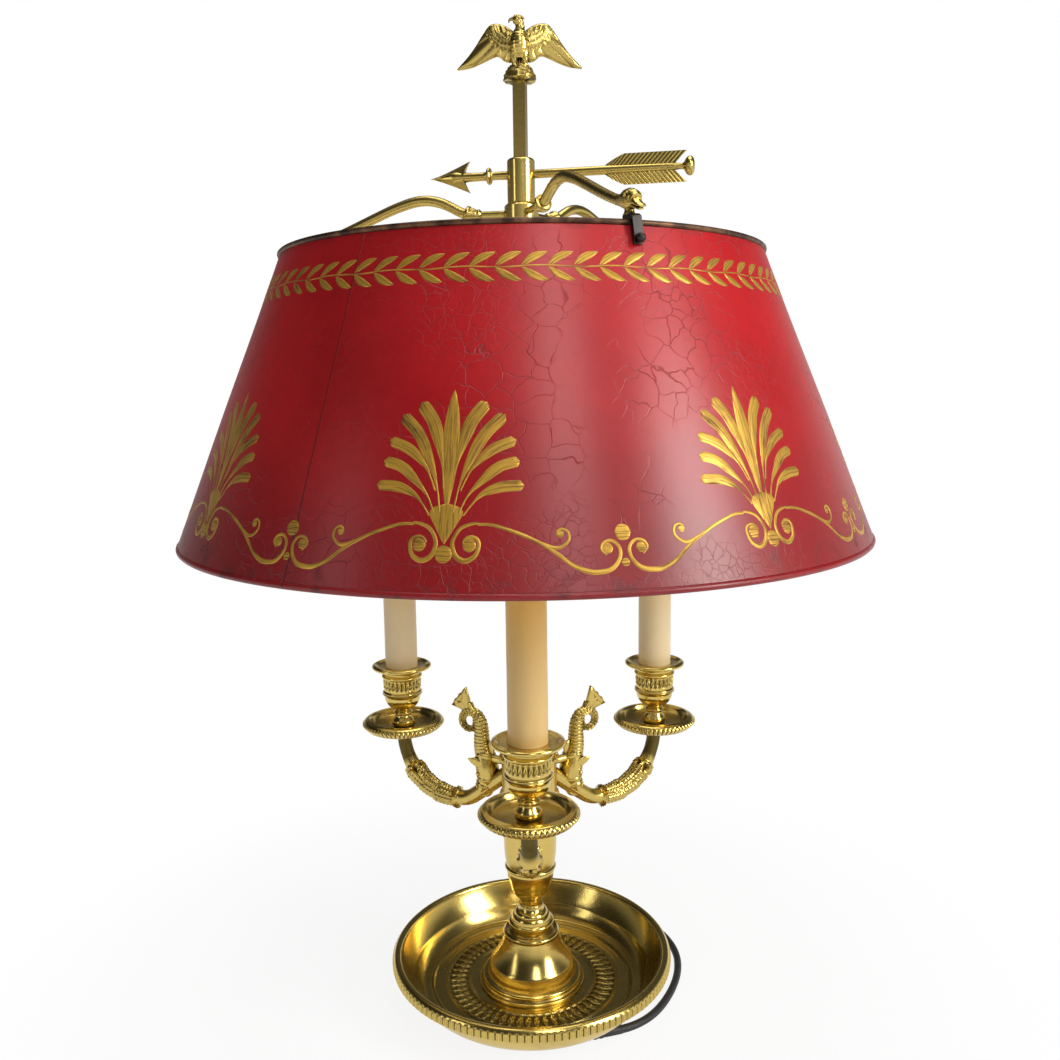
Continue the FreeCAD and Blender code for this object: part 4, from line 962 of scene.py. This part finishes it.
lower_bill = swept(
    [
        (143.6, 490.6, 1.4, 2.4), (146.4, 489.4, 1.0, 2.2), (149.2, 488.2, 0.8, 2.0),
        (150.8, 487.6, 0.4, 1.3),
    ],
    20, 5,
)
brow = [ball((141.6, side * 3.5, 496.2), 1.5, (1.5, 0.7, 0.6)) for side in (1, -1)]
swan_eyes = [ball((142.0, side * 4.1, 495.0), 0.95) for side in (1, -1)]
swan_post = swept(
    [
        (139, 493, 2.4, 2.4), (139, 490, 2.4, 2.4), (139, 488, 2.5, 2.5), (139, 487, 3.1, 3.1),
        (139, 486.6, 3.1, 3.1),
    ],
    24, 4,
)
parts = [swan_rod, swan_bell, swan_neck, swan_post, upper_bill, lower_bill, *brow, *swan_eyes]
swans = cast("swans", parts, None)
swans = repeated(swans, 3, FIRST_SWAN, "carriage")
stands_for(swans, "brass", "spider_arm_1", "spider_arm_2", "spider_arm_3")

# Clips: blackened steel hooks screwed up into the posts under the swans' heads, each with a
# ball-headed screw that pinches the tin.
blackened = polished_metal("blackened_steel", (0.055, 0.05, 0.048, 1), (0.012, 0.010, 0.009, 1), 0.34)
coated(["shade_clips", "shade_screws"], blackened)

# Arrow: the head half is fixed in the collar; the feathered half is a thumbscrew that locks the shade
# on the rod. Both are cast brass, with a bead on the shaft and chased feathers.
ARROW_Z = 532
ROD_TURN = -11


def plated(grid, half, recess=None):
    """A thin cast plate from a grid of (x, y, z) centres and half thicknesses across it."""
    n, m = grid.shape[:2]
    lift = (half * np.ones((n, m)))[..., None] * np.array([0.0, 1.0, 0.0])
    points = np.concatenate([(grid + lift).reshape(-1, 3), (grid - lift).reshape(-1, 3)])
    faces, back = [], n * m
    for i in range(n - 1):
        for j in range(m - 1):
            a, b, c, d = i * m + j, i * m + j + 1, (i + 1) * m + j + 1, (i + 1) * m + j
            faces += [(a, b, c, d), (back + d, back + c, back + b, back + a)]
    rim = [i * m for i in range(n)] + [(n - 1) * m + j for j in range(1, m)]
    rim += [i * m + m - 1 for i in range(n - 2, -1, -1)] + [j for j in range(m - 2, 0, -1)]
    for a, b in zip(rim, rim[1:] + rim[:1]):
        faces.append((a, b, back + b, back + a))
    hollows = np.zeros(2 * n * m) if recess is None else np.tile((recess * np.ones((n, m))).ravel(), 2)
    return points, faces, hollows


def turned_to_rod(part):
    """Turns a skin about the lamp's axis to the rod's own turn."""
    c, s = cos(radians(ROD_TURN)), sin(radians(ROD_TURN))
    x, y, z = np.asarray(part[0], float).T
    return np.stack([x * c - y * s, x * s + y * c, z], 1), *part[1:]


shaft_turning = (
    (4, 2.5), (10, 2.5), (17.6, 2.5), (18.4, 4.2), (19.6, 5.0), (20.8, 4.2), (21.6, 2.6), (30, 2.6),
    (36, 3.0), (41, 3.4), (46, 2.2), (50, 1.2),
)
shaft = swept([(-x, ARROW_Z, r, r) for x, r in shaft_turning], 28, 4)
t = np.linspace(0, 1, 15)
across = np.linspace(-1, 1, 13)
barb = 9.2 * t**1.3 + 0.15
reach = -56 + 22 * t
heads = np.zeros((15, 13, 3))
swept_back = np.abs(across[None, :]) ** 1.5 * 4.2 * t[:, None] ** 2
heads[..., 0] = reach[:, None] + swept_back - 1.5 * t[:, None] ** 2
heads[..., 2] = ARROW_Z + barb[:, None] * across[None, :]
thick = 0.25 + 2.9 * (1 - np.abs(across[None, :])) * (0.25 + 0.75 * t[:, None])
parts = [turned_to_rod(part) for part in (shaft, plated(heads, thick))]
arrow_head = cast("arrow_head_cast", parts, "carriage", 38)
stands_for(arrow_head, "brass", "arrow_head")

key_turning = (
    (3.9, 2.5), (12, 2.5), (30, 2.5), (48, 2.6), (70, 2.4), (88, 2.2), (94.6, 1.8), (96.6, 2.0),
    (98, 4.2), (99.6, 5.4), (101.4, 5.2), (102.6, 3.6), (103, 1.4),
)
key_shaft = swept([(x, ARROW_Z, r, r) for x, r in key_turning], 28, 4)
x = np.linspace(49, 98.4, 90)
up = np.linspace(0, 1, 15)
tall = 8.8 * np.clip((x - 49) / 13, 0, 1) ** 0.62
vanes = []
for side in (1, -1):
    grid = np.zeros((90, 15, 3))
    notch = (1 - up[None, :]) * 7.6 * np.clip((x[:, None] - 86) / 12, 0, 1) ** 1.5
    grid[..., 0] = x[:, None] - notch
    grid[..., 2] = ARROW_Z + side * (1.4 + (tall[:, None] - 1.4) * up[None, :])
    barbs = np.abs((grid[..., 0] - up[None, :] * 6.5) / 2.6 % 1 - 0.5) * 2
    thin = 0.35 + 0.5 * (1 - up[None, :]) + 0.5 * barbs * (up[None, :] > 0.05)
    vanes.append(plated(grid, thin, 0.8 - 2 * barbs))
parts = [turned_to_rod(part) for part in (key_shaft, *vanes)]
arrow_key = cast("arrow_key_cast", parts, "key")
stands_for(arrow_key, "brass", "arrow_key")

# Shade: a cone of tin plate, folded over a wire at each rim. It is lacquered deep red outside, where
# the lacquer has crazed with age, and off-white inside. One seam runs down its left side.
LOW_R, LOW_Z, TOP_R, TOP_Z = 207.7, 319.4, 143.6, 481.0
LEAN = (LOW_R - TOP_R) / (TOP_Z - LOW_Z)
SEAM_AT = 32
red, here, shader = finish_named("crazed_red_lacquer")
aside, depth, height = here.parts()
swirl = here.node("TexNoise", None, {"Vector": here, "Scale": 70.0, "Detail": 2.0}, output="Color")
swirl = swirl.node("VectorMath", {"operation": "SUBTRACT"}, {0: swirl, 1: (0.5, 0.5, 0.5)})
swirl = swirl.node("VectorMath", {"operation": "MULTIPLY"}, {0: swirl, 1: (0.012, 0.012, 0.012)})
drift = here.node("VectorMath", None, {0: here, 1: swirl})


def crazing(scale, width):
    """Thin lines between cells, 1 on a crack, with scale in cells per metre."""
    cells = {"Vector": drift, "Scale": scale}
    edge = drift.node("TexVoronoi", {"feature": "DISTANCE_TO_EDGE"}, cells, output="Distance")
    return 1 - edge.between(width * 0.25, width)


cloud = here.noise(7, 4)
wide_cracks = crazing(82.0, 0.022) * here.noise(11, 3).between(0.47, 0.6)
fine_cracks = crazing(190.0, 0.05) * here.noise(13, 3).between(0.47, 0.62) * 0.4
crack = here.maths("MAXIMUM", wide_cracks, fine_cracks)
past_seam = here.maths("ARCTAN2", aside, 0 - depth) + radians(SEAM_AT)
seam = 1 - here.maths("ABSOLUTE", past_seam).between(0.0012, 0.0032)
rims = 1 - height.between(0.3215, 0.338) * (1 - height.between(0.4765, 0.4815))
# Painted shade: the lacquer is painted darker towards the foot of the cone.
painted_low_shade = (1 - height.between(0.318, 0.40)) * 0.5
grime = rims * here.noise(90, 5).between(0.5, 0.8)
chips = here.noise(420, 2).between(0.79, 0.8) * here.noise(24, 2).between(0.55, 0.65)
speckle = here.noise(300, 4).mix((0.55, 0.5, 0.5, 1), WHITE)
tone = cloud.between(0.3, 0.7).mix((0.34, 0.003, 0.006, 1), (0.52, 0.008, 0.012, 1))
multiply = {"data_type": "RGBA", "blend_type": "MULTIPLY"}
tone = tone.node("Mix", multiply, {"Factor": 0.5, 6: tone, 7: speckle}, output=2)
tone = (crack * 0.5).mix(tone, (0.075, 0.004, 0.006, 1))
# Dirt by the rims, the dark seam, and the painted shade towards the foot darken the tone.
tone = (grime * 0.55 + seam * 0.6 + painted_low_shade).mix(tone, (0.07, 0.004, 0.005, 1))
tone = chips.mix(tone, (0.7, 0.6, 0.52, 1))
feed(shader, Base_Color=tone, Roughness=0.27 + cloud * 0.12 + crack * 0.2 + grime * 0.2)
bumped(shader, here.noise(240, 3) * 0.16 - crack * 0.8 + seam * 1.2 - chips * 0.8, 0.14)
cream, here, shader = finish_named("off_white_lacquer")
feed(
    shader,
    Base_Color=here.noise(30, 4).mix((0.72, 0.66, 0.55, 1), (0.82, 0.78, 0.69, 1)),
    Roughness=0.5 + here.noise(60) * 0.2,
)
bumped(shader, here.noise(300, 3), 0.08)
WALL = 0.86


def hand_bent(angle, reach, height):
    """The sheet was rolled by hand, so its side isn't quite straight."""
    return 0.14 * np.sin(height / 19)


shade = spun(
    "shade_cone_tin",
    [(LOW_R, LOW_Z), (TOP_R, TOP_Z), (TOP_R - WALL, TOP_Z), (LOW_R - WALL, LOW_Z)],
    red, "carriage", around=288, step=4.2, carve=hand_bent,
)
shade.data.materials.append(cream)
inward = [
    int(face.normal.dot(Vector((face.center.x, face.center.y, 0))) < 0) for face in shade.data.polygons
]
shade.data.polygons.foreach_set("material_index", inward)
stands_for(shade, "tole", "shade_cone")

# Rims: the tin is rolled over a round wire at the cone's top and foot. The upper one has worn down to
# dark bronze-coloured metal, and the lower one keeps its red lacquer.
bronze, here, shader = finish_named("worn_dark_rim")
wear = here.noise(120, 4)
feed(
    shader,
    Base_Color=wear.between(0.35, 0.7).mix((0.045, 0.022, 0.012, 1), (0.20, 0.10, 0.05, 1)),
    Metallic=0.7,
    Roughness=0.36 + wear * 0.2,
)
bumped(shader, wear, 0.12)


def rolled_rim(name, reach, height, thick, finish, cad_node):
    """The tin rolled round a wire that is bent into a ring."""
    turns = [2 * pi * k / 12 for k in range(12)]
    outline = [(reach + thick * cos(turned), height + thick * sin(turned)) for turned in turns]
    stands_for(spun(name, outline, finish, "carriage", around=288, step=9), "bronze", cad_node)


rolled_rim("top_rim_rolled", 143.2, 482.5, 1.5, bronze, "shade_rim_top")
rolled_rim("low_rim_rolled", 207.1, 317.6, 1.75, red, "shade_rim_bottom")

# Painted ornament: gilt paint laid on by brush through the painter's own rounds, so that it stands a
# hair above the lacquer. Eight palmettes with scrolls run round the foot and a laurel round the top.
gilt, here, shader = finish_named("gilt_paint")
along = here.node("UVMap")
streak = along.noise(1300, 4, 0.6, stretch=(0.045, 1, 1))
blot = here.noise(55, 3)
dull = (streak.between(0.44, 0.64) * 0.7 + blot.between(0.48, 0.7) * 0.4).clamped()
feed(
    shader,
    Base_Color=dull.mix((0.58, 0.33, 0.04, 1), (0.13, 0.06, 0.012, 1)),
    Metallic=0.5,
    Roughness=0.38 + dull * 0.25,
)
bumped(shader, streak, 0.1)
BRUSH = [(-0.5, -0.06), (-0.42, 0.05), (0, 0.09), (0.42, 0.05), (0.5, -0.06), (0, -0.2)]


def painted(strokes, reference):
    """Brush strokes on the cone. Each is rows of (distance round at the reference reach, height, width)."""
    points, faces, marks = [], [], []
    for number, rows in enumerate(strokes):
        rows = np.array(rows, float)
        ahead = np.gradient(rows[:, :2], axis=0)
        ahead /= np.maximum(np.hypot(*ahead.T), 1e-9)[:, None]
        gone = along_line(rows[:, :2])
        start = len(points)
        for (u, z, width), (du, dz), s in zip(rows, ahead, gone):
            for w, lift in BRUSH:
                angle = (u - dz * w * width) / reference
                high = z + du * w * width
                r = LOW_R - LEAN * (high - LOW_Z) + hand_bent(0, 0, high) + lift
                points.append((r * cos(angle), r * sin(angle), high + lift * LEAN))
                marks.append((s * MM, (w * width + number * 37) * MM))
        side = len(BRUSH)
        for i in range(len(rows) - 1):
            for j in range(side):
                a, b = start + i * side + j, start + i * side + (j + 1) % side
                faces.append((a, b, b + side, a + side))
        faces.append(tuple(start + j for j in range(side)))
        faces.append(tuple(start + (len(rows) - 1) * side + j for j in reversed(range(side))))
    return points, faces, marks


def painted_round(name, strokes, reference, count, first):
    """Paints strokes count times round the shade."""
    points, faces, marks = painted(strokes, reference)
    made = meshed(name, points, faces, gilt, None, 60)
    layer = made.data.uv_layers.new(name="UVMap")
    for loop in made.data.loops:
        layer.data[loop.index].uv = marks[loop.vertex_index]
    made = repeated(made, count, first, "carriage")
    return made


def lobe(points, width, pointed=False):
    """A palmette lobe: thin at its root, full near its end, and rounded or pointed there."""
    line = through(points, 7)
    gone = along_line(line)
    t = gone / gone[-1]
    if pointed:
        wide = 0.8 + (width - 0.8) * np.sin(pi * np.clip(t, 0, 1) ** 1.25) ** 0.85
        wide[-1] = 0.15
    else:
        full = np.clip((t - 0.18) / 0.5, 0, 1)
        wide = 0.8 + (width - 0.8) * full * full * (3 - 2 * full)
        blunt = 1 - 0.42 * width / gone[-1]
        wide = wide * np.sqrt(np.clip(1 - (np.clip(t - blunt, 0, 1) / (1 - blunt)) ** 2, 0.004, 1))
    return np.column_stack([line, wide])


def dot(u, z, r):
    """A round dab of the brush."""
    t = np.linspace(-0.995, 0.995, 13)
    return np.column_stack([u + t * r, np.full(13, z), 2 * r * np.sqrt(1 - t * t)])


def both_sides(strokes, about=0.0):
    """Strokes and their mirror images about a vertical line."""
    flipped = []
    for rows in strokes:
        rows = np.array(rows, float)
        twin = rows.copy()
        twin[:, 0] = 2 * about - rows[:, 0]
        flipped += [rows, twin]
    return flipped


PALMETTES = 8
FIRST_PALMETTE = -100
PALMETTE_REACH = 186.0
CUP_TOP = 352.0
side_lobes = [
    ([(1.8, 10), (3.0, 19), (5, 28), (9, 39), (16, 47.5)], 6.7),
    ([(2.9, 0.5), (4.6, 10), (8, 20), (15, 33), (24.5, 42)], 6.0),
    ([(5.6, 9.5), (8.0, 15), (11, 20), (19, 27), (29.5, 31)], 5.1),
    ([(5.4, 0), (8.6, 7), (14, 13), (22, 19.5), (31, 22)], 5.1),
    ([(7.3, -1), (10.6, 3.6), (15, 8), (23, 11), (32.8, 11.6)], 5.0),
]
fan = both_sides([lobe([(u, CUP_TOP + z) for u, z in line], width) for line, width in side_lobes])
fan.append(lobe([(0, CUP_TOP + z) for z in (0, 13, 27, 40, 53)], 8.7, pointed=True))
painted_round("painted_palmettes", fan, PALMETTE_REACH, PALMETTES, FIRST_PALMETTE)

SCROLL_REACH = 201.6
CUP_FOOT, CUP_ARCH, CUP_WIDE = 339.2, 351.7, 16.7
level = np.linspace(0, 1, 16)
cup_high = CUP_FOOT + 16.7 * level
cup_wide = np.where(cup_high < CUP_ARCH, 0.5 + CUP_WIDE * (cup_high - CUP_FOOT) / (CUP_ARCH - CUP_FOOT), 0)
arch = cup_high >= CUP_ARCH
cup_wide[arch] = 17.2 * np.sqrt(np.clip(1 - ((cup_high[arch] - CUP_ARCH) / 4.25) ** 2, 0.003, 1))
cup_dab = np.column_stack([np.zeros(16), cup_high, cup_wide])
volute = [
    (14.8, 348, 1.0), (11, 347.4, 1.5), (7.1, 345.7, 1.7), (4.6, 342.4, 1.8), (3.7, 338.8, 2.0),
    (5.6, 334.2, 2.3), (9.8, 332.3, 2.3), (14, 334.6, 2.1), (15.5, 338.8, 1.8), (14.6, 341.4, 1.6),
    (11.7, 342.3, 1.5), (9.2, 341.2, 1.5), (8.3, 339.6, 1.2),
]
scroll = [
    (14.8, 347.5, 1.2), (22, 347, 1.5), (33.4, 343.4, 1.7), (42.6, 339.2, 1.7), (49.5, 335, 1.7),
    (55.6, 330.4, 2.0), (61.7, 327.7, 2.2), (66.3, 327, 2.3), (72.4, 328.1, 2.2), (76.3, 332, 1.9),
    (77, 336.5, 1.7), (74, 339.6, 1.5), (70.2, 339.2, 1.4), (68.6, 336.5, 1.3), (70.9, 333.9, 0.9),
]
branch = [
    (41, 340.2, 0.6), (43.4, 339.2, 1.5), (47.2, 337.7, 1.7), (51, 337.7, 1.6), (54.5, 340.4, 1.5),
    (54.5, 343.8, 1.4), (51.8, 345.3, 1.2), (49.5, 344.2, 0.8),
]
runs = [through(line, 5) for line in (volute, scroll, branch)]
runs += [dot(11.3, 338.8, 3.0), dot(71.6, 336.6, 2.3), dot(50.9, 343.2, 1.7)]
border = both_sides(runs) + [cup_dab, dot(0, 335, 3.9)]
border += [dot(79, 343, 3.7), dot(79, 330.6, 1.9)]
painted_round("painted_scrolls", border, SCROLL_REACH, PALMETTES, FIRST_PALMETTE)

LAUREL_Z = 461.0
LAUREL_PAIRS = 78
STEM_STROKES = 26
FIRST_LEAF = -90
LEAF_TILT = 27
LEAF_LONG = 13.6


def laurel_leaf(tilt):
    """One leaf of the laurel: a pointed dab that starts at the stem."""
    t = np.linspace(0, 1, 9)
    bow = 0.9 * np.sin(pi * t) * np.sign(tilt)
    u = 0.4 + LEAF_LONG * t * cos(radians(tilt)) - bow * sin(radians(tilt))
    z = LAUREL_Z + 0.5 * np.sign(tilt) + LEAF_LONG * t * sin(radians(tilt)) + bow * cos(radians(tilt))
    return np.column_stack([u, z, 0.2 + 3.7 * np.sin(pi * t**0.9) ** 0.8])


pair_reach = LOW_R - LEAN * (LAUREL_Z - LOW_Z)
pair = [laurel_leaf(LEAF_TILT), laurel_leaf(-LEAF_TILT)]
painted_round("painted_laurel", pair, pair_reach, LAUREL_PAIRS, FIRST_LEAF)
stem_run = np.linspace(-0.25, 2 * pi * pair_reach / STEM_STROKES + 0.25, 16)
stem_wave = LAUREL_Z + 0.35 * np.sin(np.linspace(0, 2 * pi, 16))
stem_stroke = np.column_stack([stem_run, stem_wave, np.full(16, 0.7)])
painted_round("painted_stem", [stem_stroke], pair_reach, STEM_STROKES, FIRST_LEAF)

# Eagle finial: cast brass, screwed on the rod's top. It stands on a rock with its wings spread and its
# head turned, and the feathers are chased in rows on the wings and breast.
EAGLE_Z = 585.0


def on_perch(rows):
    """Rows whose heights are taken from the eagle's foot, placed on the rod."""
    return [(row[0], EAGLE_Z + row[1], *row[2:]) for row in rows]


def wing_grid(side):
    """A wing as a grid from its front edge to its trailing edge, with feathers fanned from the shoulder."""
    front = through(
        [
            (2.5, 28.2), (8, 31.8), (13.5, 33.4), (17.5, 32.6), (21, 28.6), (26, 21.6), (31.5, 15),
            (37.4, 9.6),
        ],
        9,
    )
    rear = through(
        [
            (2.5, 13.0), (5.5, 11.4), (9, 12.4), (12.5, 15.0), (17, 14.0), (23, 11.6), (29.5, 9.6),
            (37.0, 8.8),
        ],
        9,
    )
    v = np.linspace(0, 1, 26)
    flat = front[:, None, :] * (1 - v[None, :, None]) + rear[:, None, :] * v[None, :, None]
    x, z = flat[..., 0], flat[..., 1]
    sweep = 2.2 + 5.5 * (x / 37.5) ** 1.4 - 2.6 * np.sin(pi * v)[None, :] * (1 - x / 60)
    grid = np.stack([side * x, sweep, EAGLE_Z + z], -1)
    fan_angle = np.arctan2(34.5 - z, x - 1.5)
    far = np.hypot(x - 5, z - 32)
    quill = np.abs(np.sin(fan_angle * 13 + 0.4 * side)) ** 0.6
    row = far / 3.2
    part = (fan_angle * 7 + 0.5 * np.floor(row)) % 1 - 0.5
    covert = np.sqrt(np.clip(1 - 3.6 * part**2, 0, 1)) * (row % 1) ** 0.6
    half = 0.45 + np.where(far > 15, 0.75 * quill, 0.8 * covert) + 0.8 * (1 - v[None, :]) ** 3
    edges = np.clip(v[None, :] * 12 + 0.4, 0, 1), np.clip((1 - v[None, :]) * 12 + 0.4, 0, 1)
    half *= np.clip((38.5 - x) / 6, 0.3, 1) * edges[0] * edges[1]
    return grid, half, 0.95 - 1.9 * np.where(far > 15, quill, covert)


def upright(rows, sides=28, per=8, carve=None):
    """Skin round a line in the plane y = 0 that starts low and ends high; a row adds a shift in y."""
    rows = np.array(rows, float)
    points, faces, recess = swept([(x, z, deep, wide) for x, z, deep, wide, _ in rows], sides, per, carve)
    points[:, 1] += np.repeat(through(rows, per)[:, 4], sides)
    return points, faces, recess


def breast_feathers(s, a):
    row = s / 2.1
    part = (a * 8 / pi + np.floor(row) * 0.5) % 1 - 0.5
    feather = np.sqrt(np.clip(1 - 3.4 * part**2, 0, 1)) * (1 - row % 1) ** 0.5
    return window(s, 1, 27, 2) * (0.5 * feather - 0.15)


def leg_scales(s, a):
    return 0.22 * np.sin(a * 6 + s)


def rock_faces(angle, reach, height):
    """Broken faces on the rock, but not where it meets the rod."""
    return (reach > 3) * -0.7 * np.abs(np.sin(angle * 3.5 + height * 1.3) * np.sin(height * 1.1 + angle * 2))


trunk = upright(
    on_perch([
        (0, 13, 3.2, 3.6, 1.2), (0, 16, 4.8, 4.6, 0.8), (0, 20, 5.6, 5.0, 0.2), (0, 24, 5.0, 4.8, 0),
        (0.3, 27.4, 3.6, 3.4, 0), (0.6, 30, 2.6, 2.6, -0.2), (0.2, 32.4, 2.4, 2.5, -0.5),
        (-0.6, 34, 2.9, 2.7, -0.7), (-1.2, 35.6, 2.4, 2.3, -0.8), (-1.4, 36.8, 1.0, 1.2, -0.8),
    ]),
    32, 8, breast_feathers,
)
beak = swept(on_perch([(-2.2, 35.2, 1.5, 1.4), (-4.2, 35.0, 1.0, 0.9), (-5.6, 34.2, 0.7, 0.6),
    (-6.1, 32.9, 0.3, 0.3)]), 14, 5)
crest = swept(on_perch([(-1.6, 36.2, 0.9, 1.2), (0.6, 36.4, 0.9, 1.1), (2.6, 35.4, 0.5, 0.6),
    (3.4, 34.6, 0.2, 0.3)]), 12, 4)
eagle_eyes = [ball((-2.4, y, EAGLE_Z + 35.9), 0.55, sides=10) for y in (-2.7, 1.1)]
leg = ((3.4, 7.4, 1.5, 1.6), (3.3, 10, 1.3, 1.3), (3.2, 13, 2.0, 1.9), (2.6, 17, 2.6, 2.6))
legs = [
    swept(on_perch([(side * x, z, deep, wide) for x, z, deep, wide in leg]), 18, 5, leg_scales)
    for side in (1, -1)
]
claws = [
    ball((side * 3.4 + spread, -2.4, EAGLE_Z + 7.9), 0.95, (0.9, 1.9, 0.8), 10)
    for side in (1, -1)
    for spread in (-1.7, 0, 1.7)
]
v = np.linspace(0, 1, 14)[:, None]
w = np.linspace(-1, 1, 17)[None, :]
tail = np.stack([(3.0 + 2.6 * v) * w, 3.4 + 2.6 * v + 0 * w, EAGLE_Z + 17 - 13 * v - 0.8 * (1 - w**2)], -1)
tail_half = 0.5 + 0.5 * np.abs(np.cos(w * 3.5 * pi / 2))
rock = spun(
    "eagle_rock",
    on_perch([(0.5, 0), (9.4, 0), (10, 0.8), (9.6, 3.4), (8.4, 5.6), (7.2, 7.6), (5.6, 8.6), (0.5, 9)]),
    cast_brass, "stand", around=72, step=0.9, carve=rock_faces,
)
wings = [plated(*wing_grid(side)) for side in (1, -1)]
parts = [trunk, beak, crest, *eagle_eyes, *legs, *claws, plated(tail, tail_half), *wings]
eagle = cast("eagle", parts, "stand")
stands_for(eagle, "brass", "finial_eagle")
stands_for(rock, "brass", "finial_eagle")
